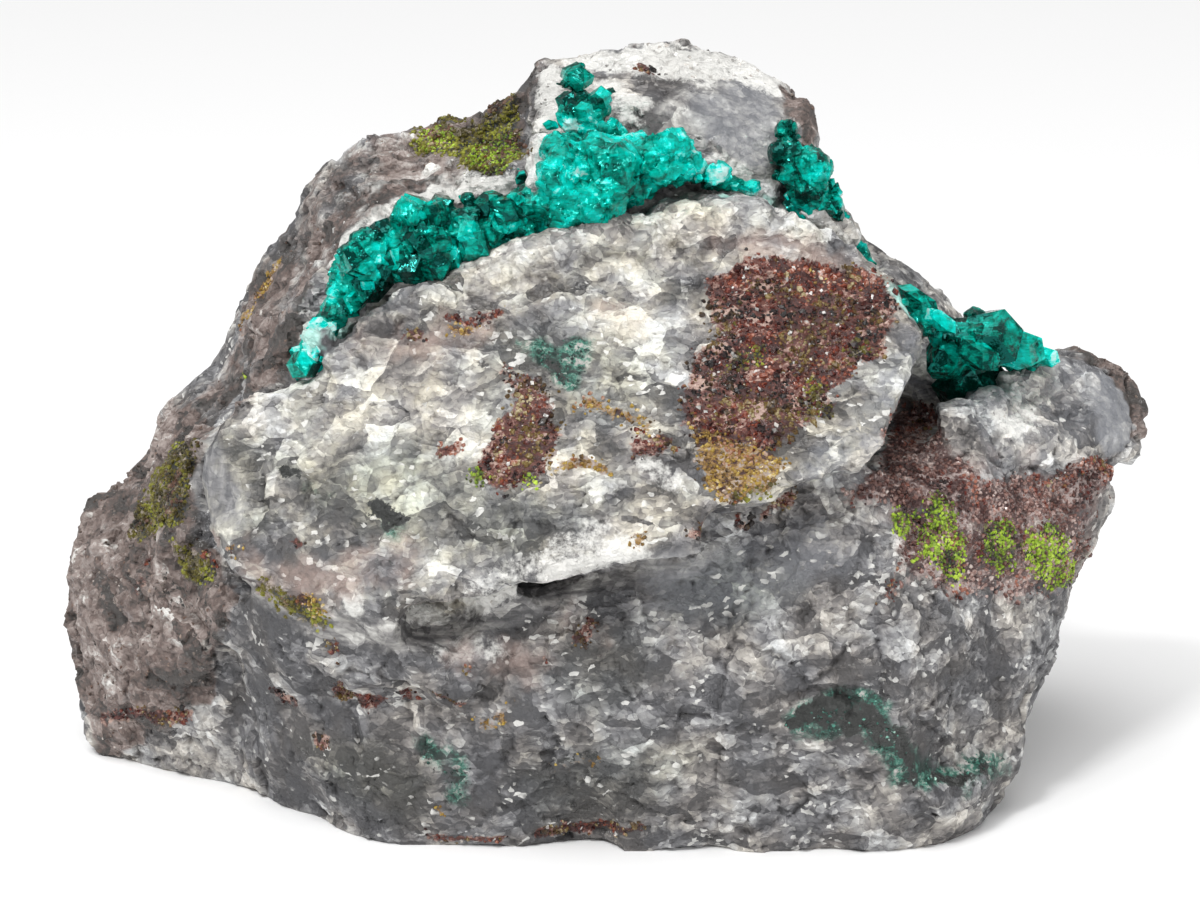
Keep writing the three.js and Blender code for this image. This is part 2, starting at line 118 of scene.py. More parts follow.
AREAS = (
    # The leaning slab, the stone under it, which is painted darker as shade, and the smooth broken faces.
    Area(Stain.SLAB, ((190, 480), (200, 520), (240, 575), (350, 608), (430, 622), (560, 578), (640, 548), (740, 532),
                      (800, 495), (890, 440), (930, 390), (942, 345), (905, 285), (850, 235), (780, 215), (700, 190),
                      (640, 215), (560, 245), (500, 255), (440, 270), (385, 295), (330, 350), (295, 378), (215, 425)),
         0.8),
    Area(Stain.SHADED, ((240, 590), (350, 614), (430, 628), (560, 584), (640, 554), (740, 538), (800, 502),
                        (890, 447), (960, 520), (1080, 580), (1060, 700), (1010, 800), (940, 860), (400, 860),
                        (250, 800), (225, 660)), 1.5),
    Area(Stain.CLEAVED, ((245, 592), (350, 614), (430, 627), (560, 586), (640, 558), (720, 548), (700, 575),
                         (600, 592), (540, 612), (470, 640), (400, 652), (320, 642)), 0.8),
    Area(Stain.CLEAVED, ((1092, 372), (1126, 372), (1136, 400), (1130, 442), (1106, 462), (1094, 420)), 0.5),
    Area(Stain.CLEAVED, ((188, 482), (212, 442), (240, 470), (246, 505), (236, 540), (212, 530)), 0.5),
    Area(Stain.WHITE, ((1014, 408), (1038, 404), (1036, 432), (1020, 440), (1008, 428)), 0.5, 0.7),
    Area(Stain.CLEAVED, ((690, 80), (770, 75), (797, 100), (795, 140), (780, 190), (740, 172), (700, 142),
                         (650, 112)), 1.0),
    Area(Stain.BLUE, ((695, 90), (765, 78), (778, 100), (782, 140), (776, 172), (745, 165), (705, 140), (690, 115)),
         0.6, 0.6),
    Area(Stain.BLUE, ((1092, 372), (1126, 372), (1136, 400), (1130, 442), (1106, 462), (1094, 420)), 0.5, 0.8),
    Area(Stain.BLUE, ((188, 482), (212, 442), (240, 470), (246, 505), (236, 540), (212, 530)), 0.5, 0.3),
    Area(Stain.BLUE, ((960, 400), (1000, 380), (1060, 355), (1094, 372), (1094, 420), (1090, 455), (1000, 462)),
         1.0, 0.35),
    Area(Stain.BLUE, ((870, 400), (905, 330), (940, 340), (925, 390), (880, 445), (820, 480), (800, 470)), 1.0, 0.7),
    # Painted shade: cool dark grey under the slab's lower right rim.
    Area(Stain.BLUE, ((640, 560), (740, 545), (830, 520), (850, 560), (760, 610), (660, 620)), 2.0, 0.6),
    # Clear, greenish grey places in the slab, and dark ones in the mass under it.
    Area(Stain.CLEAR, ((285, 470), (330, 455), (395, 440), (440, 450), (475, 470), (480, 500), (440, 530),
                       (400, 545), (340, 520), (300, 500)), 3.0, 0.75),
    Area(Stain.CLEAR, ((430, 505), (500, 490), (560, 500), (600, 520), (540, 560), (470, 560), (430, 540)), 3.0, 0.5),
    Area(Stain.CLEAR, ((205, 440), (240, 430), (262, 470), (280, 520), (250, 545), (212, 520)), 1.0, 0.45),
    Area(Stain.CLEAR, ((480, 340), (540, 330), (620, 350), (650, 400), (600, 430), (520, 370)), 3.0, 0.55),
    Area(Stain.CLEAR, ((655, 575), (720, 560), (790, 560), (800, 590), (740, 620), (670, 610)), 2.0, 1.0),
    Area(Stain.CLEAR, ((300, 740), (380, 745), (430, 780), (420, 820), (340, 800)), 2.5, 0.8),
    Area(Stain.CLEAR, ((520, 770), (640, 740), (700, 760), (640, 810), (540, 820)), 3.0, 0.6),
    Area(Stain.CLEAR, ((570, 640), (640, 620), (660, 680), (600, 720), (550, 690)), 2.5, 0.5),
    # The weathered flank and shoulder.
    Area(Stain.WEATHERED, ((190, 482), (200, 522), (240, 585), (225, 640), (215, 700), (110, 760), (40, 640),
                           (50, 540), (100, 470), (180, 395), (215, 425)), 1.6, 0.85),
    Area(Stain.WEATHERED, ((222, 372), (252, 280), (335, 155), (380, 130), (520, 62), (548, 55), (532, 110),
                           (520, 150), (455, 184), (414, 192), (367, 222), (340, 250), (322, 290), (316, 330),
                           (292, 350), (285, 376), (215, 425), (180, 395)), 1.4, 0.62),
    Area(Stain.WEATHERED, ((780, 78), (800, 85), (825, 130), (812, 158), (796, 145), (786, 110)), 0.8, 0.9),
    Area(Stain.WEATHERED, ((1060, 338), (1125, 350), (1150, 390), (1145, 440), (1130, 440), (1128, 392),
                           (1100, 366), (1070, 352)), 0.8, 0.9),
    # The crusts.
    Area(Stain.RUST, ((709, 280), (748, 259), (797, 264), (836, 262), (875, 278), (903, 298), (892, 331),
                      (875, 354), (836, 383), (830, 409), (797, 429), (775, 447), (720, 444), (681, 428), (682, 403),
                      (692, 363), (712, 330)), 1.5),
    Area(Stain.RUST, ((485, 377), (517, 374), (552, 395), (560, 420), (556, 440), (547, 457), (532, 484),
                      (479, 484), (471, 470), (491, 442), (497, 425), (514, 404), (510, 388)), 1.4, 0.85),
    Area(Stain.PURPLE, ((895, 409), (927, 409), (944, 435), (967, 461), (999, 478), (1048, 474), (1097, 461),
                      (1114, 471), (1088, 503), (1048, 520), (999, 526), (934, 520), (888, 506), (836, 496),
                      (869, 471), (882, 442)), 1.8, 0.95),
    Area(Stain.PINK, ((860, 470), (900, 400), (945, 430), (1110, 460), (1090, 580), (960, 600), (900, 560)), 2.0, 0.5),
    Area(Stain.PURPLE, ((885, 500), (960, 515), (1050, 512), (1092, 495), (1086, 585), (1040, 600), (960, 600),
                        (905, 584)), 2.4, 0.66),
    Area(Stain.WHITE, ((314, 335), (316, 290), (328, 245), (352, 222), (385, 204), (412, 194), (455, 188), (508, 184),
                       (524, 168), (505, 172), (460, 172), (420, 168), (385, 176), (350, 196), (330, 222),
                       (314, 265)), 1.4, 0.8),
    Area(Stain.WHITE, ((545, 66), (600, 50), (660, 44), (705, 50), (750, 62), (794, 82), (802, 100), (770, 92),
                       (735, 82), (690, 78), (640, 74), (590, 68), (556, 90)), 0.9, 0.95),
    Area(Stain.OCHRE, ((690, 428), (775, 447), (787, 470), (765, 492), (725, 502), (705, 482)), 1.6, 0.95),
    Area(Stain.OLIVE, ((172, 448), (197, 442), (195, 462), (184, 498), (180, 521), (153, 534), (127, 540),
                      (128, 522), (150, 498), (161, 465)), 1.0),
    Area(Stain.OLIVE, ((178, 543), (205, 560), (213, 580), (197, 590), (176, 572)), 1.0, 0.9),
    Area(Stain.OLIVE, ((412, 139), (446, 120), (489, 128), (501, 100), (518, 96), (524, 151), (504, 172),
                      (467, 172), (455, 155), (418, 152)), 1.0, 0.95),
    Area(Stain.LIME, ((414, 142), (446, 126), (456, 140), (430, 152)), 0.8, 0.9),
    Area(Stain.LIME, ((466, 158), (482, 140), (500, 132), (517, 120), (519, 150), (503, 170), (470, 170)), 1.0, 0.8),
    Area(Stain.LIME, ((916, 530), (928, 496), (946, 498), (954, 530), (966, 550), (964, 578), (940, 580),
                      (920, 560)), 0.6),
    Area(Stain.LIME, ((894, 514), (912, 516), (914, 534), (896, 536)), 0.5),
    Area(Stain.LIME, ((978, 522), (1008, 520), (1014, 560), (1002, 574), (984, 556)), 0.6),
    Area(Stain.LIME, ((1024, 532), (1046, 522), (1070, 532), (1064, 552), (1078, 566), (1070, 588), (1036, 584),
                      (1024, 560)), 0.6),
    Area(Stain.MALACHITE, ((785, 716), (830, 686), (892, 702), (908, 735), (932, 762), (1002, 745), (1010, 775),
                           (960, 797), (900, 792), (882, 762), (852, 738), (800, 740)), 2.2, 0.8),
)

PATCHES = (
    # Small spots and lines of crust on the slab.
    Patch(Stain.RUST, ((700, 533), (745, 522), (792, 498)), 1.0, 0.75),
    Patch(Stain.OLIVE, ((735, 315), (742, 308)), 1.0, 0.85),
    Patch(Stain.OLIVE, ((745, 362), (760, 352)), 1.0, 0.75),
    Patch(Stain.OLIVE, ((862, 348),), 1.2, 0.8),
    Patch(Stain.OLIVE, ((815, 388), (820, 410)), 1.4, 0.75),
    Patch(Stain.OLIVE, ((728, 372),), 1.0, 0.7),
    Patch(Stain.OLIVE, ((735, 500), (765, 490)), 1.3, 0.7),
    Patch(Stain.OCHRE, ((815, 272), (830, 280)), 1.1, 0.7),
    Patch(Stain.LIME, ((473, 470), (480, 478)), 0.8, 0.9),
    Patch(Stain.LIME, ((530, 480),), 0.8, 0.9),
    Patch(Stain.OCHRE, ((545, 452),), 0.9, 0.9),
    Patch(Stain.OCHRE, ((560, 466), (585, 462), (605, 470)), 0.7, 0.95),
    Patch(Stain.OCHRE, ((590, 405), (625, 410), (650, 430)), 1.2, 0.62),
    Patch(Stain.RUST, ((640, 442), (662, 440)), 1.1),
    Patch(Stain.RUST, ((440, 452), (458, 446)), 0.7),
    Patch(Stain.RUST, ((297, 543),), 0.65),
    Patch(Stain.RUST, ((412, 335), (418, 334)), 0.8),
    Patch(Stain.RUST, ((445, 318), (470, 322), (500, 312)), 0.8, 0.7),
    Patch(Stain.OCHRE, ((455, 330), (475, 326)), 1.0),
    Patch(Stain.OCHRE, ((640, 535),), 1.2, 0.8),
    Patch(Stain.OCHRE, ((232, 545),), 1.5, 0.62),
    Patch(Stain.OLIVE, ((268, 590), (295, 606), (322, 620)), 1.6, 0.75),
    Patch(Stain.OCHRE, ((300, 600), (318, 612)), 1.0, 0.8),
    Patch(Stain.RUST, ((328, 630), (336, 655)), 0.7, 0.6),
    Patch(Stain.PINK, ((250, 560), (290, 590), (400, 560)), 3.4, 0.6),
    Patch(Stain.PINK, ((265, 590),), 1.4, 1.0),
    Patch(Stain.BLACK, ((380, 511), (404, 516)), 1.3, 0.9),
    Patch(Stain.BLACK, ((386, 526),), 0.8, 0.8),
    Patch(Stain.BLACK, ((283, 471), (296, 474)), 0.7),
    Patch(Stain.BLACK, ((392, 560),), 0.5),
    Patch(Stain.BLACK, ((697, 203), (691, 222)), 0.5),
    Patch(Stain.BLACK, ((711, 246),), 0.35),
    Patch(Stain.MALACHITE, ((385, 528), (400, 530)), 1.5, 0.45),
    Patch(Stain.MALACHITE, ((538, 350), (560, 364), (576, 352), (568, 376)), 2.0, 1.0),
    Patch(Stain.BLACK, ((546, 360), (564, 374)), 1.0, 0.72),
    Patch(Stain.MALACHITE, ((300, 485), (345, 492)), 1.6, 0.35),
    Patch(Stain.RUST, ((930, 415), (912, 412)), 1.1),
    Patch(Stain.RUST, ((1060, 480), (1085, 472), (1105, 468)), 1.4, 1.0),
    Patch(Stain.RUST, ((1015, 386), (1028, 382)), 0.6, 0.8),
    Patch(Stain.RUST, ((885, 600), (900, 570)), 0.9, 0.5),
    # Blue-green copper minerals low on the right and in the middle.
    Patch(Stain.BLACK, ((800, 722), (830, 708), (862, 718), (880, 728)), 1.5, 0.92),
    Patch(Stain.BLACK, ((818, 698), (826, 724)), 0.8, 0.9),
    Patch(Stain.BLACK, ((844, 700), (852, 732)), 0.9, 0.95),
    Patch(Stain.BLACK, ((870, 706), (880, 742)), 0.8, 0.9),
    Patch(Stain.BLACK, ((900, 735), (908, 750), (912, 775)), 1.2, 0.92),
    Patch(Stain.BLACK, ((936, 776), (960, 784), (988, 774)), 1.1, 0.92),
    Patch(Stain.MALACHITE, ((430, 750), (455, 765), (460, 795)), 2.6, 0.6),
    Patch(Stain.BLACK, ((425, 755), (462, 782)), 2.2, 0.45),
    Patch(Stain.BLACK, ((560, 758), (596, 756)), 1.1, 0.62),
    Patch(Stain.OCHRE, ((560, 765), (590, 762)), 1.6, 0.45),
    # Small spots on the lower mass.
    Patch(Stain.RUST, ((578, 634), (586, 620)), 0.9),
    Patch(Stain.RUST, ((345, 690), (375, 698)), 1.4, 0.9),
    Patch(Stain.RUST, ((400, 690), (408, 702)), 0.9, 0.8),
    Patch(Stain.RUST, ((436, 698), (460, 706)), 0.7, 0.8),
    Patch(Stain.RUST, ((468, 668),), 0.6),
    Patch(Stain.RUST, ((545, 656),), 0.35),
    Patch(Stain.RUST, ((318, 742), (326, 740)), 0.7),
    Patch(Stain.RUST, ((270, 688), (292, 704)), 0.7, 0.9),
    Patch(Stain.RUST, ((540, 832), (590, 826), (640, 828)), 0.8, 0.95),
    Patch(Stain.RUST, ((430, 838), (500, 838)), 0.6, 0.7),
    Patch(Stain.RUST, ((103, 720), (140, 712), (190, 718)), 0.9, 0.9),
    Patch(Stain.OCHRE, ((515, 700), (485, 730)), 1.0, 0.55),
    Patch(Stain.OCHRE, ((442, 812),), 0.7, 0.8),
    Patch(Stain.PINK, ((470, 655), (530, 670)), 3.4, 0.6),
    Patch(Stain.WHITE, ((448, 648), (480, 640), (500, 650)), 1.6, 0.6),
    Patch(Stain.WHITE, ((350, 152), (372, 146), (400, 148)), 1.0, 0.8),
    Patch(Stain.WHITE, ((300, 300), (322, 262)), 1.6, 0.5),
    Patch(Stain.PINK, ((560, 600), (600, 640)), 3.0, 0.3),
    Patch(Stain.PINK, ((355, 345), (430, 350), (480, 330)), 3.2, 0.6),
    Patch(Stain.PINK, ((700, 235), (790, 250), (850, 262)), 2.6, 0.7),
    Patch(Stain.PINK, ((110, 700), (70, 620)), 4.0, 0.8),
    Patch(Stain.PINK, ((600, 310), (680, 330)), 2.6, 0.35),
    # Details of the flank and the shoulder.
    Patch(Stain.WHITE, ((235, 350), (215, 395), (190, 430)), 1.8, 0.42),
    Patch(Stain.WHITE, ((345, 155), (400, 145)), 1.2, 0.7),
    Patch(Stain.WHITE, ((300, 268), (318, 228), (345, 192)), 1.8, 0.6),
    Patch(Stain.WHITE, ((362, 170), (405, 162)), 1.7, 0.6),
    Patch(Stain.RUST, ((428, 130), (436, 140)), 0.8, 0.85),
    Patch(Stain.RUST, ((478, 146), (490, 160)), 0.9, 0.85),
    Patch(Stain.BLACK, ((458, 134), (466, 144)), 0.8, 0.8),
    Patch(Stain.BLACK, ((508, 122), (512, 138)), 0.7, 0.8),
    Patch(Stain.RUST, ((640, 65), (650, 73)), 0.6, 0.9),
    Patch(Stain.WHITE, ((85, 570), (92, 590)), 1.2, 0.6),
    Patch(Stain.BLACK, ((245, 372), (225, 385)), 1.4, 0.5),
    Patch(Stain.BLACK, ((525, 76), (515, 90)), 1.0, 0.7),
    Patch(Stain.BLACK, ((205, 400), (190, 432)), 1.5, 0.45),
    Patch(Stain.LIME, ((245, 374),), 0.9, 0.9),
    Patch(Stain.BLACK, ((140, 560), (150, 590), (190, 600)), 2.0, 0.42),
    Patch(Stain.BLACK, ((212, 560), (206, 610), (200, 630)), 1.2, 0.55),
    Patch(Stain.RUST, ((135, 590), (148, 560)), 1.0, 0.5),
    Patch(Stain.RUST, ((205, 555), (212, 565)), 0.9, 0.8),
    Patch(Stain.OCHRE, ((245, 318), (262, 290), (280, 262)), 1.3, 0.9),
    Patch(Stain.OCHRE, ((800, 140), (806, 150)), 0.8, 0.9),
    # White calcite round the seam and on the peak.
    Patch(Stain.WHITE, ((322, 300), (338, 250), (385, 208), (440, 188), (505, 182)), 1.5),
    Patch(Stain.WHITE, ((545, 70), (556, 110), (535, 160), (533, 205)), 1.9),
    Patch(Stain.WHITE, ((590, 56), (650, 66), (700, 62), (745, 74), (782, 88)), 2.2, 0.95),
    Patch(Stain.WHITE, ((620, 110), (680, 140), (740, 172)), 1.6, 0.8),
    Patch(Stain.WHITE, ((602, 84), (640, 100)), 1.7, 0.9),
    Patch(Stain.WHITE, ((385, 285), (440, 270)), 0.9, 0.7),
    Patch(Stain.WHITE, ((750, 200), (800, 222), (850, 240)), 1.6, 0.6),
    # The bright line along the slab's lower front rim is white calcite with a painted highlight where the rim catches
    # the light.
    Patch(Stain.WHITE, ((350, 602), (430, 615), (500, 599), (560, 573), (640, 545)), 1.7, 1.0),
    Patch(Stain.WHITE, ((480, 590), (560, 550), (600, 530)), 2.2, 0.55),
    Patch(Stain.WHITE, ((650, 460), (670, 480)), 1.6, 0.7),
    Patch(Stain.WHITE, ((1000, 415), (1015, 430)), 1.4, 0.8),
    # Frosted blue-green where the dioptase thins out over the white stone.
    Patch(Stain.TEAL, ((305, 350), (325, 335), (348, 332)), 1.7, 1.0),
    Patch(Stain.TEAL, ((618, 224), (640, 210)), 0.9, 0.8),
    Patch(Stain.TEAL, ((725, 178), (745, 190), (765, 203)), 1.4, 1.0),
    Patch(Stain.TEAL, ((548, 138), (545, 175), (550, 200)), 0.9, 0.9),
    Patch(Stain.TEAL, ((565, 122), (600, 122), (640, 132), (690, 152)), 0.9, 0.9),
    Patch(Stain.TEAL, ((330, 300), (345, 262), (370, 232)), 0.7, 0.7),
    Patch(Stain.TEAL, ((900, 290), (915, 315)), 1.2, 0.9),
)


@dataclass(frozen=True)
class PhotoCamera:
    """The camera that took the photograph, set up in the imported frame."""

    lens: float = 85.0
    sensor: float = 36.0
    distance: float = 236.1 * MM
    elevation: float = math.radians(15)
    aim: tuple[float, float, float] = (0.31 * MM, -0.40 * MM, 28.25 * MM)
    width: int = 1200
    height: int = 900

    @property
    def axes(self) -> tuple[Vector, Vector, Vector]:
        """The directions to the right, up and forward."""
        low, high = math.cos(self.elevation), math.sin(self.elevation)
        return Vector((1, 0, 0)), Vector((0, high, low)), Vector((0, low, -high))

    @property
    def eye(self) -> Vector:
        """The point that the camera looks from."""
        return Vector(self.aim) - self.distance * self.axes[2]

    def ray(self, pixel: Pixel) -> Vector:
        """The direction in which a pixel of the photograph lies.

        Args:
            pixel: its column and row in the 1200 by 900 frame.

        Returns:
            A unit vector from the eye.
        """
        right, up, forward = self.axes
        reach = self.lens / self.sensor * self.width
        across = (pixel[0] - self.width / 2) / reach
        rise = (self.height / 2 - pixel[1]) / reach
        return (forward + across * right + rise * up).normalized()

    def pixels(self, points: np.ndarray) -> np.ndarray:
        """The pixels of the photograph in which some points lie.

        Args:
            points: positions, one in each row.

        Returns:
            A column and a row for each point.
        """
        right, up, forward = (np.array(axis) for axis in self.axes)
        away = points - np.array(self.eye)
        scale = self.lens / self.sensor * self.width / (away @ forward)
        return np.stack((self.width / 2 + scale * (away @ right), self.height / 2 - scale * (away @ up)), axis=1)

    @property
    def pixels_per_mm(self) -> float:
        """How many pixels a millimetre takes up at the distance of the specimen."""
        return self.lens / self.sensor * self.width / self.distance * MM

    def build(self) -> bpy.types.Object:
        """Puts the camera in the scene and makes it the scene's own."""
        data = bpy.data.cameras.new("photo_camera")
        data.lens, data.sensor_width = self.lens, self.sensor
        data.clip_start, data.clip_end = 0.01, 20.0
        camera = bpy.data.objects.new("photo_camera", data)
        camera.location = self.eye
        camera.rotation_euler = self.axes[2].to_track_quat("-Z", "Y").to_euler()
        bpy.context.scene.collection.objects.link(camera)
        bpy.context.scene.camera = camera
        return camera


class Graph:
    """A node tree while it is being built, for materials, node groups and geometry alike."""

    def __init__(self, tree: bpy.types.NodeTree) -> None:
        """Starts on a tree, which may be empty."""
        self.tree = tree

    def node(self, kind: str, inputs: dict | None = None, **settings: object) -> bpy.types.Node:
        """Adds a node.

        Args:
            kind: the node's type name.
            inputs: values or other nodes' outputs for its inputs, by name or number.
            settings: properties of the node.

        Returns:
            The new node.
        """
        made = self.tree.nodes.new(kind)
        for name, value in settings.items():
            setattr(made, name, value)
        for key, value in (inputs or {}).items():
            if isinstance(value, bpy.types.NodeSocket):
                self.tree.links.new(value, made.inputs[key])
            else:
                made.inputs[key].default_value = value
        return made

    def math(self, operation: str, a: object, b: object = 0.0, clamp: bool = False) -> bpy.types.NodeSocket:
        """Adds a sum, product or other operation on two numbers and returns its result."""
        made = self.node("ShaderNodeMath", {0: a, 1: b}, operation=operation, use_clamp=clamp)
        return made.outputs[0]

    def vector(self, operation: str, a: object, b: object) -> bpy.types.Node:
        """Adds an operation on two vectors and returns its node."""
        return self.node("ShaderNodeVectorMath", {0: a, 1: b}, operation=operation)

    def spread(self, value: object, low: float, high: float, to_low: float = 0.0,
               to_high: float = 1.0) -> bpy.types.NodeSocket:
        """Maps low..high smoothly to to_low..to_high and returns the result."""
        made = self.node("ShaderNodeMapRange", {"Value": value, "From Min": low, "From Max": high,
                                                "To Min": to_low, "To Max": to_high},
                         interpolation_type="SMOOTHSTEP")
        return made.outputs["Result"]

    def mix(self, share: object, a: object, b: object, blend: str = "MIX") -> bpy.types.NodeSocket:
        """Mixes two colours and returns the result."""
        made = self.node("ShaderNodeMix", {}, data_type="RGBA", blend_type=blend)
        for socket, value in zip((made.inputs[0], made.inputs[6], made.inputs[7]), (share, a, b)):
            if isinstance(value, bpy.types.NodeSocket):
                self.tree.links.new(value, socket)
            else:
                socket.default_value = (*value, 1.0) if isinstance(value, tuple) else value
        return made.outputs[2]

    def ramp(self, value: object, stops: tuple[tuple[float, Colour], ...]) -> bpy.types.NodeSocket:
        """Turns a value into a colour by its stops, each a place and a colour."""
        made = self.node("ShaderNodeValToRGB", {"Fac": value})
        elements = made.color_ramp.elements
        while len(elements) < len(stops):
            elements.new(0.5)
        for element, (place, colour) in zip(elements, stops):
            element.position, element.color = place, (*colour, 1.0)
        return made.outputs["Color"]

    def noise(self, where: object, size: float, detail: float = 3.0,
              roughness: float = 0.6) -> bpy.types.NodeSocket:
        """Adds cloudy noise with forms of a size in metres, and returns its value."""
        made = self.node("ShaderNodeTexNoise", {"Vector": where, "Scale": 1 / size, "Detail": detail,
                                                "Roughness": roughness})
        return made.outputs["Fac"]


def add_socket(tree: bpy.types.NodeTree, name: str, kind: str, outward: bool = False,
               default: object = None) -> bpy.types.NodeTreeInterfaceSocket:
    """Gives a node group an input, or an output if outward is true.

    Args:
        tree: the group.
        name: the socket's name.
        kind: the socket's type name.
        outward: whether it is an output.
        default: its value when nothing is plugged in.

    Returns:
        The new socket of the group's interface.
    """
    made = tree.interface.new_socket(name, in_out="OUTPUT" if outward else "INPUT", socket_type=kind)
    if default is not None:
        made.default_value = default
    return made


def chips(graph: Graph, where: object, size: object) -> tuple[bpy.types.NodeSocket, bpy.types.NodeSocket,
                                                              bpy.types.NodeSocket]:
    """Breaks space into crystal-like chips, each with one tilted plane of its own.

    Args:
        graph: the tree that it is built in.
        where: the position, in metres.
        size: the chips' size, in metres.

    Returns:
        The height of the tilted planes in metres, and two random values of each chip.
    """
    scale = graph.math("DIVIDE", 1.0, size)
    cells = graph.node("ShaderNodeTexVoronoi", {"Vector": where, "Scale": scale})
    tilt = graph.vector("SUBTRACT", cells.outputs["Color"], (0.5, 0.5, 0.5)).outputs[0]
    inside = graph.vector("SUBTRACT", where, cells.outputs["Position"]).outputs[0]
    height = graph.vector("DOT_PRODUCT", inside, tilt).outputs["Value"]
    parts = graph.node("ShaderNodeSeparateXYZ", {0: cells.outputs["Color"]})
    return height, parts.outputs[0], parts.outputs[1]


class ChipsGroup:
    """The node group of chips that the stone, the crusts and the crystals all use."""

    NAME = "Crystalline chips"

    @classmethod
    def tree(cls) -> bpy.types.NodeTree:
        """The group, built the first time that it is asked for."""
        if cls.NAME in bpy.data.node_groups:
            return bpy.data.node_groups[cls.NAME]
        tree = bpy.data.node_groups.new(cls.NAME, "ShaderNodeTree")
        add_socket(tree, "Position", "NodeSocketVector")
        add_socket(tree, "Size", "NodeSocketFloat", default=MM)
        add_socket(tree, "Tilt", "NodeSocketFloat", default=1.0)
        for name in ("Height", "Shade", "Gloss"):
            add_socket(tree, name, "NodeSocketFloat", outward=True)
        graph = Graph(tree)
        given = graph.node("NodeGroupInput").outputs
        height, shade, gloss = chips(graph, given["Position"], given["Size"])
        graph.node("NodeGroupOutput", {"Height": graph.math("MULTIPLY", height, given["Tilt"]),
                                       "Shade": shade, "Gloss": gloss})
        return tree

    @classmethod
    def place(cls, graph: Graph, where: object, size: float, tilt: float) -> bpy.types.Node:
        """Places the group in a material.

        Args:
            graph: the material's tree.
            where: the position.
            size: the chips' size in metres.
            tilt: how steep their planes are.

        Returns:
            The group's node, with outputs Height, Shade and Gloss.
        """
        made = graph.node("ShaderNodeGroup", node_tree=cls.tree())
        graph.tree.links.new(where, made.inputs["Position"])
        made.inputs["Size"].default_value = size
        made.inputs["Tilt"].default_value = tilt
        return made


class CrookedGroup:
    """The node group that bends the position to and fro, so that no flake has a straight edge."""

    NAME = "Crooked position"

    @classmethod
    def tree(cls) -> bpy.types.NodeTree:
        """The group, built the first time that it is asked for."""
        if cls.NAME in bpy.data.node_groups:
            return bpy.data.node_groups[cls.NAME]
        tree = bpy.data.node_groups.new(cls.NAME, "ShaderNodeTree")
        add_socket(tree, "Position", "NodeSocketVector")
        add_socket(tree, "Position", "NodeSocketVector", outward=True)
        graph = Graph(tree)
        where = graph.node("NodeGroupInput").outputs["Position"]
        for size, reach in ((1.8 * MM, 1.0 * MM), (0.4 * MM, 0.22 * MM)):
            bent = graph.node("ShaderNodeTexNoise", {"Vector": where, "Scale": 1 / size, "Detail": 1.0})
            bend = graph.vector("SUBTRACT", bent.outputs["Color"], (0.5, 0.5, 0.5)).outputs[0]
            bend = graph.node("ShaderNodeVectorMath", {0: bend, "Scale": reach}, operation="SCALE").outputs[0]
            where = graph.vector("ADD", where, bend).outputs[0]
        graph.node("NodeGroupOutput", {"Position": where})
        return tree

    @classmethod
    def place(cls, graph: Graph, where: object) -> bpy.types.NodeSocket:
        """Places the group in a material and returns the bent position."""
        made = graph.node("ShaderNodeGroup", node_tree=cls.tree())
        graph.tree.links.new(where, made.inputs[0])
        return made.outputs[0]


def new_material(name: str) -> tuple[bpy.types.Material, Graph, bpy.types.Node, bpy.types.NodeSocket]:
    """Starts a material.

    Args:
        name: its name.

    Returns:
        The material, its graph, its Principled shader and the Object coordinates.
    """
    material = bpy.data.materials.new(name)
    material.use_nodes = True
    graph = Graph(material.node_tree)
    shader = material.node_tree.nodes["Principled BSDF"]
    where = graph.node("ShaderNodeTexCoord").outputs["Object"]
    return material, graph, shader, where


@dataclass(frozen=True)
class Flake:
    """One size of flake in the stone.

    Args:
        size: how big they are, in metres.
        shade: how much paler or darker one is than the next.
        slope: how much each one changes from side to side.
        relief: how steeply each one is tilted.
    """

    size: float
    shade: float
    slope: float
    relief: float


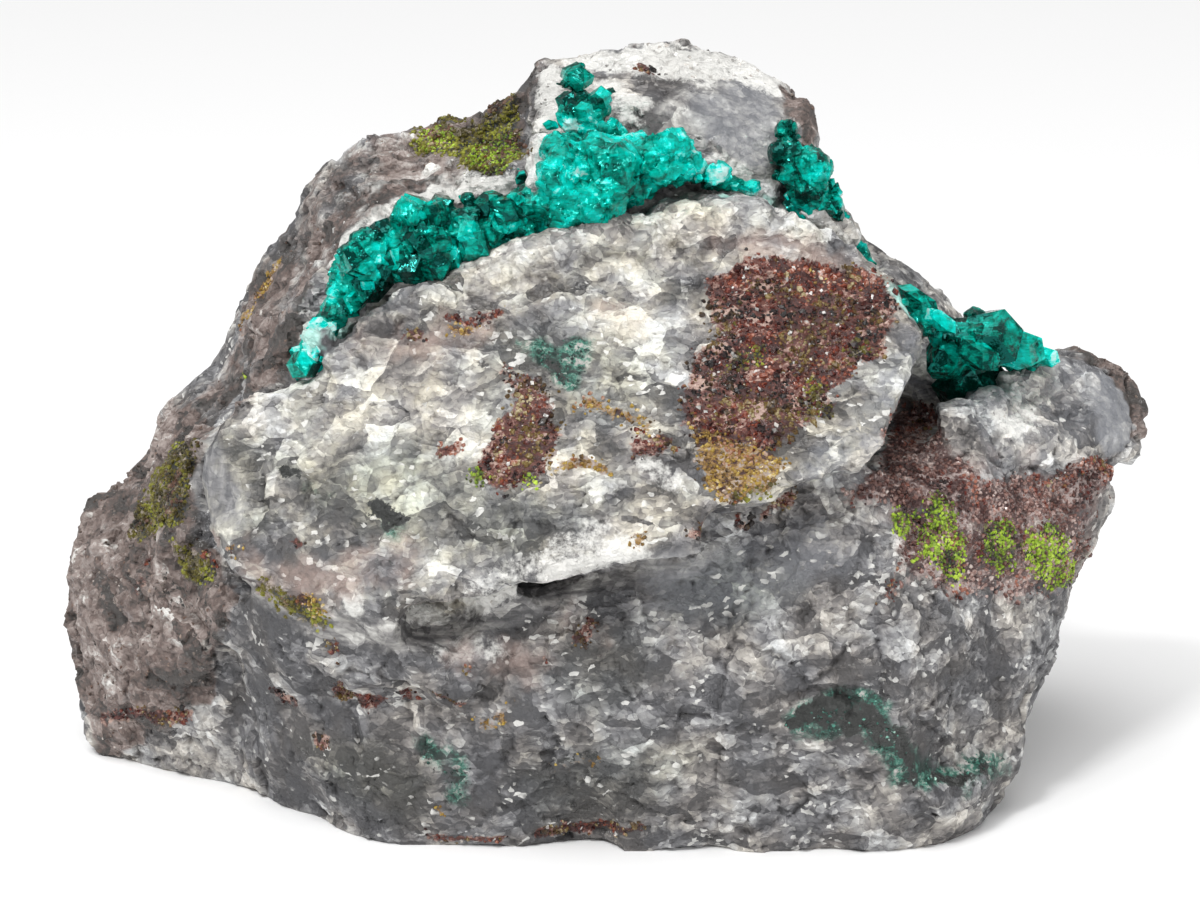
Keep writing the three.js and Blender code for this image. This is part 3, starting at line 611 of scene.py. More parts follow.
@dataclass(frozen=True)
class StoneFinish:
    """Sugary calcite and quartz, with stains where the stone's surface says so."""

    black: Colour = (0.02, 0.022, 0.02)
    shadow: Colour = (0.070, 0.068, 0.070)
    grey: Colour = (0.207, 0.200, 0.198)
    cream: Colour = (0.43, 0.418, 0.395)
    bright: Colour = (0.86, 0.85, 0.81)
    warm: Colour = (1.0, 0.985, 0.90)
    cool: Colour = (0.25, 0.262, 0.29)
    lavender: Colour = (0.94, 0.975, 1.04)
    sand: Colour = (1.04, 0.99, 0.94)
    pink: Colour = (0.46, 0.33, 0.285)
    soot: Colour = (0.055, 0.048, 0.044)
    brown: Colour = (0.150, 0.108, 0.094)
    tan: Colour = (0.36, 0.30, 0.275)
    maroon: Colour = (0.045, 0.012, 0.010)
    brick: Colour = (0.12, 0.030, 0.018)
    blush: Colour = (0.44, 0.30, 0.25)
    dusk: Colour = (0.13, 0.075, 0.068)
    mauve: Colour = (0.40, 0.32, 0.30)
    ochre: Colour = (0.30, 0.17, 0.035)
    lime: Colour = (0.22, 0.33, 0.025)
    olive: Colour = (0.12, 0.10, 0.03)
    glassy: Colour = (0.72, 0.76, 0.68)
    malachite: Colour = (0.045, 0.20, 0.145)
    copper: Colour = (0.006, 0.026, 0.020)
    teal: Colour = (0.10, 0.66, 0.56)
    flakes: tuple[Flake, ...] = (Flake(5.0 * MM, 0.20, 0.58, 0.16), Flake(2.2 * MM, 0.22, 0.64, 0.35),
                                 Flake(1.0 * MM, 0.17, 0.40, 0.6), Flake(0.38 * MM, 0.17, 0.28, 0.8))
    stretch: Colour = (0.72, 1.0, 1.12)
    lean: float = math.radians(18)

    def amount(self, graph: Graph, stain: Stain | str) -> bpy.types.NodeSocket:
        """How much of a stain, or of another value of the surface, there is."""
        name = stain.value if isinstance(stain, Stain) else stain
        return graph.node("ShaderNodeAttribute", attribute_name=name).outputs["Fac"]

    def stained(self, graph: Graph, under: object, stain: Stain, colour: object, grit: object,
                low: float = 0.35, high: float = 0.6) -> bpy.types.NodeSocket:
        """Lays one stain over the colour so far, broken up by grit.

        Args:
            graph: the material's tree.
            under: the colour so far.
            stain: the stain.
            colour: the stain's colour.
            grit: a value that breaks its edge up.
            low: the sum of stain and grit where it starts.
            high: the sum where it covers all.

        Returns:
            The new colour.
        """
        amount = self.amount(graph, stain)
        broken = graph.math("MULTIPLY", graph.math("SUBTRACT", grit, 0.5), 1.5)
        broken = graph.math("MULTIPLY", broken, graph.spread(amount, 0.0, 0.25))
        return graph.mix(graph.spread(graph.math("ADD", amount, broken), low, high), under, colour)

    def streaks(self, graph: Graph, where: object) -> bpy.types.NodeSocket:
        """Streaks as on a cleaved face, from 0 to 1: upright, but level on the stone under the slab."""
        upright = graph.node("ShaderNodeMapping", {"Vector": where, "Rotation": (0.0, 0.12, 0.0),
                                                   "Scale": (1.0, 1.0, 0.16)}).outputs[0]
        level = graph.node("ShaderNodeMapping", {"Vector": where, "Rotation": (0.0, -0.1, 0.0),
                                                 "Scale": (0.10, 1.0, 1.4)}).outputs[0]
        drawn = graph.node("ShaderNodeMix", {}, data_type="VECTOR")
        under = graph.math("GREATER_THAN", self.amount(graph, Stain.SHADED), 0.5)
        for socket, value in zip((drawn.inputs[0], drawn.inputs[4], drawn.inputs[5]), (under, upright, level)):
            graph.tree.links.new(value, socket)
        return graph.noise(drawn.outputs[1], 0.8 * MM, 3.0, 0.6)

    def bare(self, graph: Graph, where: object, clouds: object, grit: object, sloped: object,
             streaks: object) -> bpy.types.NodeSocket:
        """The stone's colour where it has no stain.

        Args:
            graph: the material's tree.
            where: the position.
            clouds: cloudy noise a few mm across.
            grit: fine noise.
            sloped: the tones of the flakes, around 0.
            streaks: upright streaks.

        Returns:
            The colour.
        """
        # Painted light in the tone: convex crests are raised a little as a painted highlight, and the stone under the
        # slab (the shaded value) is lowered as painted shade.
        parts = ((graph.noise(where, 9 * MM, 2.0, 0.5), 0.5, 1.05), (clouds, 0.5, 0.5), (grit, 0.5, 0.22),
                 (self.amount(graph, "facet"), 0.5, 0.12), (self.amount(graph, "crest"), 0.0, 0.06),
                 (self.amount(graph, Stain.SLAB), 0.0, 0.10), (self.amount(graph, Stain.SHADED), 0.0, -0.12),
                 (self.amount(graph, Stain.CLEAR), 0.0, -0.20))
        tone = graph.math("ADD", sloped, 0.40)
        for value, middle, weight in parts:
            tone = graph.math("ADD", tone, graph.math("MULTIPLY", graph.math("SUBTRACT", value, middle), weight))
        base = graph.ramp(tone, ((0.08, self.shadow), (0.34, self.grey), (0.58, self.cream), (0.90, self.bright)))
        hue = graph.mix(graph.spread(graph.noise(where, 5 * MM, 3.0, 0.6), 0.38, 0.62), self.lavender, self.sand)
        base = graph.mix(0.8, base, hue, "MULTIPLY")
        base = graph.mix(self.amount(graph, Stain.CLEAR), base, self.glassy, "MULTIPLY")
        cleaved = graph.math("ADD", graph.math("MULTIPLY", streaks, 0.7), graph.math("MULTIPLY", clouds, 0.5))
        cleaved = graph.math("ADD", cleaved, graph.math("ADD", graph.math("MULTIPLY", sloped, 0.35), 0.1))
        smooth = graph.ramp(cleaved, ((0.50, self.shadow), (0.64, self.grey), (0.80, self.cream), (0.98, self.bright)))
        base = graph.mix(graph.math("MULTIPLY", self.amount(graph, Stain.CLEAVED), 0.85), base, smooth)
        bluish = graph.mix(graph.spread(tone, 0.5, 0.8, 0.8, 0.25), base, self.cool)
        base = graph.mix(graph.math("MULTIPLY", self.amount(graph, Stain.BLUE), 0.9), base, bluish)
        warm = graph.math("MULTIPLY", self.amount(graph, Stain.SLAB), graph.spread(clouds, 0.4, 0.6))
        return graph.mix(warm, base, self.warm, "MULTIPLY")

    def weathered(self, graph: Graph, where: object, grit: object, sloped: object) -> bpy.types.NodeSocket:
        """The colour of the old, dirty skin of the stone, mottled from black to cream."""
        mottle = graph.math("ADD", graph.math("MULTIPLY", graph.noise(where, 2.6 * MM, 3.0, 0.6), 0.5),
                            graph.math("MULTIPLY", graph.noise(where, 8 * MM, 2.0), 0.8))
        mottle = graph.math("ADD", mottle, graph.math("MULTIPLY", graph.math("SUBTRACT", grit, 0.5), 0.35))
        mottle = graph.math("ADD", mottle, graph.math("MULTIPLY", sloped, 0.5))
        return graph.ramp(mottle, ((0.47, self.soot), (0.63, self.brown), (0.84, self.tan), (1.0, self.bright)))

    def build(self) -> bpy.types.Material:
        """The stone's material."""
        material, graph, shader, where = new_material("calcite_stone")
        crooked = CrookedGroup.place(graph, where)
        crooked = graph.node("ShaderNodeMapping", {"Vector": crooked, "Rotation": (0.0, self.lean, 0.0),
                                                   "Scale": self.stretch}).outputs[0]
        grit = graph.noise(where, 0.6 * MM, 4.0, 0.75)
        clouds = graph.noise(where, 3 * MM, 3.0, 0.6)
        streaks = self.streaks(graph, where)
        sloped, height, gloss = 0.0, graph.math("MULTIPLY", grit, 0.30 * MM), 0.0
        for flake in self.flakes:
            chip = ChipsGroup.place(graph, crooked, flake.size, 1.0).outputs
            shade = graph.math("MULTIPLY", graph.math("SUBTRACT", chip["Shade"], 0.5), flake.shade)
            slope = graph.math("MULTIPLY", chip["Height"], flake.slope / flake.size)
            sloped = graph.math("ADD", sloped, graph.math("ADD", shade, slope))
            height = graph.math("ADD", height, graph.math("MULTIPLY", chip["Height"], flake.relief))
            gloss = graph.math("ADD", gloss, graph.math("MULTIPLY", chip["Gloss"], 1 / len(self.flakes)))
            finest = chip
        base = self.bare(graph, where, clouds, grit, sloped, streaks)
        # White flecks on the glossiest of the finest chips: partly white calcite grains, partly painted glints.
        flecks_and_painted_glints = graph.math("MULTIPLY", graph.spread(finest["Gloss"], 0.90, 0.94), 0.7)
        flecks_and_painted_glints = graph.math("MULTIPLY", flecks_and_painted_glints, graph.spread(self.amount(graph, Stain.CLEAVED), 0.0, 1.0, 1.0, 0.2))
        base = graph.mix(graph.math("MULTIPLY", flecks_and_painted_glints, graph.spread(clouds, 0.46, 0.6)), base, self.bright)

        fine = graph.math("ADD", grit, graph.math("MULTIPLY", sloped, 0.5))
        stains = (
            (Stain.WHITE, graph.mix(0.25, self.bright, base), grit, 0.3, 0.8),
            (Stain.PINK, graph.mix(0.6, base, self.pink), clouds, 0.25, 1.0),
            (Stain.WEATHERED, self.weathered(graph, where, grit, sloped), clouds, 0.3, 0.7),
            (Stain.RUST, graph.ramp(fine, ((0.36, self.maroon), (0.52, self.brick), (0.66, self.blush))),
             grit, 0.40, 0.6),
            (Stain.PURPLE, graph.ramp(fine, ((0.36, self.maroon), (0.48, self.dusk), (0.62, self.mauve))),
             grit, 0.35, 0.7),
            (Stain.OLIVE, graph.ramp(fine, ((0.38, self.black), (0.52, self.olive), (0.68, self.tan))),
             grit, 0.38, 0.62),
            (Stain.OCHRE, graph.ramp(fine, ((0.36, self.maroon), (0.50, self.ochre), (0.66, self.tan))),
             grit, 0.45, 0.65),
            (Stain.LIME, graph.ramp(fine, ((0.36, self.black), (0.48, self.olive), (0.58, self.lime))),
             grit, 0.48, 0.62),
            (Stain.MALACHITE, graph.ramp(fine, ((0.38, self.copper), (0.53, self.malachite), (0.66, self.cream))),
             clouds, 0.30, 0.75),
            (Stain.TEAL, graph.mix(clouds, self.teal, self.bright), clouds, 0.3, 0.75),
            (Stain.BLACK, self.black, grit, 0.45, 0.6),
        )
        for stain, colour, edge, low, high in stains:
            base = self.stained(graph, base, stain, colour, edge, low, high)
        # Painted shade: the colour is darkened in the hollows, where the surface lies below its surroundings.
        deep = graph.spread(self.amount(graph, "crest"), -0.4, -2.0, 0.0, 0.6)
        base = graph.mix(deep, base, (0.28, 0.26, 0.25), "MULTIPLY")

        calm = graph.spread(self.amount(graph, Stain.CLEAVED), 0.0, 1.0, 1.0, 0.4)
        height = graph.math("MULTIPLY", height, calm)
        bump = graph.node("ShaderNodeBump", {"Height": height, "Strength": 0.9, "Distance": 1.0})
        graph.tree.links.new(base, shader.inputs["Base Color"])
        graph.tree.links.new(graph.spread(gloss, 0.5, 0.75, 0.6, 0.16), shader.inputs["Roughness"])
        graph.tree.links.new(bump.outputs["Normal"], shader.inputs["Normal"])
        shader.inputs["IOR"].default_value = 1.6
        return material


@dataclass(frozen=True)
class GrainFinish:
    """The look of one kind of grain.

    Args:
        name: the material's name.
        colours: the colours of most of its grains, as places from 0 to 1 and colours.
        others: the colours of the grains in the patches where it changes.
        share: how much of it those patches take up, from 0 to 1.
        roughness: how matt it is.
        gritty: the size of the specks on the grains.
    """

    name: str
    colours: tuple[tuple[float, Colour], ...]
    others: tuple[tuple[float, Colour], ...]
    share: float = 0.3
    roughness: float = 0.4
    gritty: float = 0.15 * MM

    def build(self) -> bpy.types.Material:
        """The grains' material, which tints each grain by its own random value."""
        material, graph, shader, where = new_material(self.name)
        tint = graph.node("ShaderNodeAttribute", attribute_name="tint").outputs["Fac"]
        speckle = ChipsGroup.place(graph, where, self.gritty, 0.4).outputs
        clumps = graph.spread(graph.noise(where, 1.9 * MM, 3.0, 0.6), 0.41, 0.59)
        drift = graph.spread(graph.noise(where, 4.5 * MM, 2.0, 0.5), 0.40, 0.60)
        mottled = graph.math("ADD", graph.math("MULTIPLY", tint, 0.32), graph.math("MULTIPLY", clumps, 0.40))
        mottled = graph.math("ADD", mottled, graph.math("MULTIPLY", drift, 0.28))
        fine = graph.math("MULTIPLY", graph.math("SUBTRACT", speckle["Shade"], 0.5), 0.25)
        mottled = graph.math("ADD", mottled, fine)
        zone = graph.math("ADD", graph.noise(where, 3.2 * MM, 3.0, 0.6),
                          graph.math("MULTIPLY", graph.math("SUBTRACT", tint, 0.5), 0.12))
        edge = 0.72 - 0.45 * self.share
        colour = graph.mix(graph.spread(zone, edge - 0.03, edge + 0.03), graph.ramp(mottled, self.colours),
                           graph.ramp(mottled, self.others))
        graph.tree.links.new(colour, shader.inputs["Base Color"])
        rough = graph.spread(speckle["Gloss"], 0.0, 1.0, self.roughness * 0.5, min(1.0, self.roughness * 1.4))
        graph.tree.links.new(rough, shader.inputs["Roughness"])
        bump = graph.node("ShaderNodeBump", {"Height": speckle["Height"], "Strength": 0.6, "Distance": 1.0})
        graph.tree.links.new(bump.outputs["Normal"], shader.inputs["Normal"])
        return material


@dataclass(frozen=True)
class DioptaseFinish:
    """Clear emerald-green crystal, darker or more frosted from one crystal to the next."""

    dark: Colour = (0.0, 0.022, 0.015)
    deep: Colour = (0.0, 0.165, 0.115)
    clear: Colour = (0.0, 0.43, 0.33)
    frosted: Colour = (0.0, 0.84, 0.74)
    white: Colour = (0.70, 1.0, 0.96)
    sheen: Colour = (0.10, 1.0, 0.88)
    flakes: tuple[Flake, ...] = (Flake(2.6 * MM, 0.14, 0.34, 0.20), Flake(1.1 * MM, 0.12, 0.34, 0.4),
                                 Flake(0.4 * MM, 0.14, 0.24, 0.5))
    see_through: float = 0.25
    absorbed: Colour = (0.01, 0.80, 0.62)
    absorption: float = 220.0

    def build(self) -> bpy.types.Material:
        """The dioptase's material."""
        material, graph, shader, where = new_material("dioptase_crystal")
        tint = graph.node("ShaderNodeAttribute", attribute_name="tint").outputs["Fac"]
        frost = graph.node("ShaderNodeAttribute", attribute_name="frost").outputs["Fac"]
        face = graph.node("ShaderNodeAttribute", attribute_name="face").outputs["Fac"]
        crooked = CrookedGroup.place(graph, where)
        wisps = graph.noise(where, 0.9 * MM, 4.0, 0.65)
        zones = graph.noise(where, 3.4 * MM, 2.0, 0.5)
        stretched = graph.node("ShaderNodeMapping", {"Vector": where, "Rotation": (0.5, 0.35, 0.3),
                                                     "Scale": (1.0, 1.0, 3.0)}).outputs[0]
        streaks = graph.noise(stretched, 1.2 * MM, 4.0, 0.65)
        mixed = graph.math("ADD", graph.math("MULTIPLY", tint, 0.6), 0.02)
        height = graph.math("MULTIPLY", wisps, 0.10 * MM)
        for flake in self.flakes:
            chip = ChipsGroup.place(graph, crooked, flake.size, 1.0).outputs
            shade = graph.math("MULTIPLY", graph.math("SUBTRACT", chip["Shade"], 0.5), flake.shade)
            slope = graph.math("MULTIPLY", chip["Height"], flake.slope / flake.size)
            mixed = graph.math("ADD", mixed, graph.math("ADD", shade, slope))
            height = graph.math("ADD", height, graph.math("MULTIPLY", chip["Height"], flake.relief))
        parts = ((face, 0.0, 0.17), (zones, 0.5, 1.0), (wisps, 0.5, 0.4), (streaks, 0.5, 0.8), (frost, 0.0, 0.45))
        for value, middle, weight in parts:
            mixed = graph.math("ADD", mixed, graph.math("MULTIPLY", graph.math("SUBTRACT", value, middle), weight))
        colour = graph.ramp(mixed, ((0.04, self.dark), (0.20, self.deep), (0.42, self.clear), (0.70, self.frosted),
                                    (0.98, self.white)))
        graph.tree.links.new(colour, shader.inputs["Base Color"])
        graph.tree.links.new(graph.spread(mixed, 0.4, 0.9, 0.08, 0.4), shader.inputs["Roughness"])
        bump = graph.node("ShaderNodeBump", {"Height": height, "Strength": 0.6, "Distance": 1.0})
        graph.tree.links.new(bump.outputs["Normal"], shader.inputs["Normal"])
        shader.inputs["IOR"].default_value = 1.67
        shader.inputs["Specular Tint"].default_value = (*self.sheen, 1.0)
        shader.inputs["Transmission Weight"].default_value = self.see_through
        volume = graph.node("ShaderNodeVolumeAbsorption", {"Color": (*self.absorbed, 1.0),
                                                           "Density": self.absorption})
        output = next(n for n in graph.tree.nodes if n.type == "OUTPUT_MATERIAL")
        graph.tree.links.new(volume.outputs["Volume"], output.inputs["Volume"])
        return material


def link(piece: bpy.types.Object) -> bpy.types.Object:
    """Puts a piece in the scene and returns it."""
    bpy.context.scene.collection.objects.link(piece)
    return piece


def finished(piece: bpy.types.Object, name: str) -> bpy.types.Object:
    """Turns a piece with modifiers into a plain piece.

    Args:
        piece: the piece, which is removed.
        name: the name of the plain one.

    Returns:
        The plain piece, in the scene.
    """
    bpy.context.view_layer.update()
    graph = bpy.context.evaluated_depsgraph_get()
    mesh = bpy.data.meshes.new_from_object(piece.evaluated_get(graph), preserve_all_data_layers=True,
                                           depsgraph=graph)
    bpy.data.objects.remove(piece)
    mesh.name = name
    return link(bpy.data.objects.new(name, mesh))


def set_inputs(modifier: bpy.types.Modifier, values: dict[str, object]) -> None:
    """Sets the inputs of a Geometry Nodes modifier by the names that they have in its tree."""
    for item in modifier.node_group.interface.items_tree:
        if item.item_type == "SOCKET" and item.in_out == "INPUT" and item.name in values:
            modifier[item.identifier] = values[item.name]


def triangles(piece: bpy.types.Object) -> int:
    """How many triangles a piece has."""
    return sum(len(face.vertices) - 2 for face in piece.data.polygons)


def remeshed(piece: bpy.types.Object, name: str, grid: float) -> bpy.types.Object:
    """Fuses a piece's closed bodies into one with an even grid.

    Args:
        piece: the piece, which is removed.
        name: the name of the fused one.
        grid: the grid's size in metres.

    Returns:
        The fused piece.
    """
    fuse = piece.modifiers.new("fuse", "REMESH")
    fuse.mode, fuse.voxel_size = "VOXEL", grid
    return finished(piece, name)


def thinned(piece: bpy.types.Object, name: str, most: int) -> bpy.types.Object:
    """Takes away the triangles that flat places don't need.

    Args:
        piece: the piece, which is removed.
        name: the name of the thinned one.
        most: how many triangles it may keep.

    Returns:
        The thinned piece.
    """
    share = most / triangles(piece)
    if share < 1:
        thin = piece.modifiers.new("thin", "DECIMATE")
        thin.ratio = share
    return finished(piece, name)


def vertices(piece: bpy.types.Object, what: str = "co") -> np.ndarray:
    """The places, or with "normal" the normals, of a piece's vertices, one in each row."""
    values = np.empty(len(piece.data.vertices) * 3)
    piece.data.vertices.foreach_get(what, values)
    return values.reshape(-1, 3)


def set_values(piece: bpy.types.Object, name: str, values: np.ndarray) -> None:
    """Writes one number for each vertex of a piece."""
    attribute = piece.data.attributes.get(name) or piece.data.attributes.new(name, "FLOAT", "POINT")
    attribute.data.foreach_set("value", np.asarray(values, np.float32))


def merged_mesh(nodes: tuple[str, ...]) -> bmesh.types.BMesh:
    """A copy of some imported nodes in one, with their loose triangles joined."""
    mesh = bmesh.new()
    for node in nodes:
        mesh.from_mesh(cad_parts[node].data)
    bmesh.ops.remove_doubles(mesh, verts=mesh.verts, dist=0.002 * MM)
    bmesh.ops.recalc_face_normals(mesh, faces=mesh.faces)
    return mesh


class ReliefTree:
    """The Geometry Nodes tree that breaks a smooth stone into terraces and tilted chips."""

    NAME = "Broken stone relief"
    CALM = {"Break": 0.6, "Chip": 0.5, "Grain": 0.45}
    TALLEST = 0.28 * MM

    @classmethod
    def tree(cls) -> bpy.types.NodeTree:
        """The tree, with a size and a depth for each kind of chip, built the first time it is asked for."""
        if cls.NAME in bpy.data.node_groups:
            return bpy.data.node_groups[cls.NAME]
        tree = bpy.data.node_groups.new(cls.NAME, "GeometryNodeTree")
        add_socket(tree, "Geometry", "NodeSocketGeometry")
        for kind in cls.CALM:
            add_socket(tree, f"{kind} size", "NodeSocketFloat", default=MM)
            add_socket(tree, f"{kind} depth", "NodeSocketFloat", default=1.0)
        add_socket(tree, "Terrace height", "NodeSocketFloat", default=0.4 * MM)
        add_socket(tree, "Terrace depth", "NodeSocketFloat", default=3 * MM)
        add_socket(tree, "Floor", "NodeSocketFloat", default=-1.0)
        add_socket(tree, "Ground", "NodeSocketFloat", default=0.0)
        add_socket(tree, "Geometry", "NodeSocketGeometry", outward=True)
        graph = Graph(tree)
        given = graph.node("NodeGroupInput").outputs
        where = graph.node("GeometryNodeInputPosition").outputs[0]
        warp = graph.node("ShaderNodeTexNoise", {"Vector": where, "Scale": 1 / (5 * MM), "Detail": 3.0})
        nudge = graph.vector("SUBTRACT", warp.outputs["Color"], (0.5, 0.5, 0.5)).outputs[0]
        nudge = graph.node("ShaderNodeVectorMath", {0: nudge, "Scale": 2.4 * MM}, operation="SCALE").outputs[0]
        warped = graph.vector("ADD", where, nudge).outputs[0]
        slab = graph.node("GeometryNodeInputNamedAttribute", {"Name": Stain.SLAB.value}, data_type="FLOAT")
        cleaved = graph.node("GeometryNodeInputNamedAttribute", {"Name": Stain.CLEAVED.value}, data_type="FLOAT")
        even = graph.math("MAXIMUM", slab.outputs["Attribute"], cleaved.outputs["Attribute"])
        total, shade = None, None
        for kind, calm in cls.CALM.items():
            height, step, _ = chips(graph, warped, given[f"{kind} size"])
            rise = graph.math("MULTIPLY", graph.math("SUBTRACT", step, 0.5), given[f"{kind} size"])
            height = graph.math("ADD", height, graph.math("MULTIPLY", rise, 0.2))
            height = graph.math("MULTIPLY", height, given[f"{kind} depth"])
            height = graph.math("MULTIPLY", height, graph.spread(even, 0.0, 1.0, 1.0, calm))
            total = height if total is None else graph.math("ADD", total, height)
            shade = step if shade is None else graph.math("ADD", shade, step)
        hills = graph.math("SUBTRACT", graph.noise(warped, 7 * MM, 5.0, 0.55), 0.5)
        total = graph.math("ADD", total, graph.math("MULTIPLY", hills, given["Terrace depth"]))
        steps = graph.math("SNAP", total, given["Terrace height"])
        share = graph.spread(even, 0.0, 1.0, 0.15, 0.5)
        gap = graph.math("MULTIPLY", graph.math("SUBTRACT", steps, total), share)
        total = graph.math("ADD", total, gap)
        weathered = graph.node("GeometryNodeInputNamedAttribute", {"Name": Stain.WEATHERED.value},
                               data_type="FLOAT").outputs["Attribute"]
        total = graph.math("MULTIPLY", total, graph.spread(weathered, 0.0, 1.0, 1.0, 1.9))
        total = graph.math("MULTIPLY", total, graph.spread(cleaved.outputs["Attribute"], 0.0, 1.0, 1.0, 0.45))
        normal = graph.node("GeometryNodeInputNormal").outputs[0]
        offset = graph.node("ShaderNodeVectorMath", {0: normal, "Scale": total}, operation="SCALE").outputs[0]
        free = graph.math("GREATER_THAN", graph.node("ShaderNodeSeparateXYZ", {0: where}).outputs[2], given["Floor"])
        kept = graph.node("GeometryNodeStoreNamedAttribute",
                          {"Geometry": given["Geometry"], "Name": "facet", "Value": graph.math("DIVIDE", shade, 3.0)},
                          data_type="FLOAT", domain="POINT")
        raised = graph.node("GeometryNodeSetPosition", {"Geometry": kept.outputs[0], "Selection": free,
                                                        "Offset": offset})
        parts = graph.node("ShaderNodeSeparateXYZ", {0: graph.node("GeometryNodeInputPosition").outputs[0]}).outputs
        lowest = graph.math("MAXIMUM", parts[2], given["Ground"])
        lifted = graph.node("ShaderNodeCombineXYZ", {0: parts[0], 1: parts[1], 2: lowest}).outputs[0]
        moved = graph.node("GeometryNodeSetPosition", {"Geometry": raised.outputs[0], "Position": lifted})
        # How proud each point stands of its blurred surroundings: stored for the stone's colour, where it gives a
        # painted highlight on convex edges and painted shade in hollows, and used to pull the proudest spikes in.
        position = graph.node("GeometryNodeInputPosition").outputs[0]
        blurred = graph.node("GeometryNodeBlurAttribute", {"Value": position, "Iterations": 5},
                             data_type="FLOAT_VECTOR").outputs[0]
        proud = graph.vector("SUBTRACT", position, blurred).outputs[0]
        facing = graph.node("GeometryNodeInputNormal").outputs[0]
        crest = graph.vector("DOT_PRODUCT", proud, facing).outputs["Value"]
        crest = graph.math("DIVIDE", crest, 0.09 * MM)
        marked = graph.node("GeometryNodeStoreNamedAttribute",
                            {"Geometry": moved.outputs[0], "Name": "crest", "Value": crest},
                            data_type="FLOAT", domain="POINT")
        reach = graph.node("ShaderNodeVectorMath", {0: proud}, operation="LENGTH").outputs["Value"]
        kept_share = graph.math("MINIMUM", graph.math("DIVIDE", cls.TALLEST, graph.math("MAXIMUM", reach, 0.01 * MM)),
                                1.0)
        held = graph.node("ShaderNodeVectorMath", {0: proud, "Scale": kept_share}, operation="SCALE").outputs[0]
        tamed = graph.node("GeometryNodeSetPosition", {"Geometry": marked.outputs[0],
                                                       "Position": graph.vector("ADD", blurred, held).outputs[0]})
        graph.node("NodeGroupOutput", {"Geometry": tamed.outputs[0]})
        return tree


@dataclass(frozen=True)
class Relief:
    """How a surface is broken up: the sizes of its chips, and how steep and deep they are."""

    break_size: float = 6.0 * MM
    break_depth: float = 0.14
    chip_size: float = 2.6 * MM
    chip_depth: float = 0.18
    grain_size: float = 1.15 * MM
    grain_depth: float = 0.22
    terrace_height: float = 0.22 * MM
    terrace_depth: float = 1.2 * MM
    floor: float = 0.3 * MM

    def apply(self, piece: bpy.types.Object, name: str) -> bpy.types.Object:
        """Breaks a piece up and returns the broken one under a new name."""
        relief = piece.modifiers.new("relief", "NODES")
        relief.node_group = ReliefTree.tree()
        set_inputs(relief, {"Break size": self.break_size, "Break depth": self.break_depth,
                            "Chip size": self.chip_size, "Chip depth": self.chip_depth,
                            "Grain size": self.grain_size, "Grain depth": self.grain_depth,
                            "Terrace height": self.terrace_height, "Terrace depth": self.terrace_depth,
                            "Floor": self.floor})
        return finished(piece, name)


@dataclass(frozen=True)
class Lump:
    """A rounded lump on the stone: the pixel that it is seen at, and its radius in mm."""

    spot: Pixel
    radius: float


LUMPS = tuple(Lump(spot, radius) for spot, radius in (
    # Rounded white bumps behind the top of the slab.
    ((781, 214), 1.0), ((792, 222), 0.9), ((806, 217), 1.0), ((815, 212), 1.1), ((822, 220), 1.0), ((834, 224), 1.0),
    ((843, 228), 0.9), ((826, 236), 1.1), ((805, 234), 1.2), ((852, 240), 0.9),
    # The white lobe at the left end of the main seam, and the slab's edge beside it.
    ((326, 342), 1.5), ((341, 332), 1.4), ((352, 347), 1.8), ((366, 333), 1.7), ((380, 318), 1.6), ((338, 360), 1.8),
    # The white wedge in the main seam.
    ((541, 132), 1.0), ((538, 142), 0.9), ((534, 151), 0.9), ((537, 160), 0.95), ((533, 168), 0.9), ((537, 176), 0.95),
    ((533, 184), 0.9), ((536, 192), 0.95), ((535, 200), 0.85),
    # The grey stone between the slab and the main seam.
    ((585, 238), 2.2), ((605, 230), 2.6), ((625, 222), 3.0), ((645, 214), 3.2), ((662, 202), 2.8), ((680, 197), 2.7),
    ((645, 232), 2.6), ((668, 218), 2.8), ((697, 203), 2.5), ((713, 206), 2.3), ((728, 208), 1.9), ((752, 214), 1.9),
    ((690, 220), 2.8), ((720, 222), 2.6), ((650, 208), 2.4), ((635, 216), 2.4),
    # The slab's upper edge, where the seam stands behind it.
    ((366, 312), 1.8), ((380, 305), 2.0), ((395, 300), 2.1), ((410, 297), 2.1), ((426, 295), 2.1), ((442, 292), 2.0),
    ((456, 288), 2.0), ((472, 280), 1.9), ((488, 272), 1.9), ((504, 264), 1.9), ((522, 257), 1.9), ((540, 250), 2.0),
    ((562, 244), 2.0),
    # The stone under the right cluster.
    ((1008, 384), 1.7), ((1032, 378), 1.5), ((990, 398), 1.6), ((1050, 372), 1.3)))


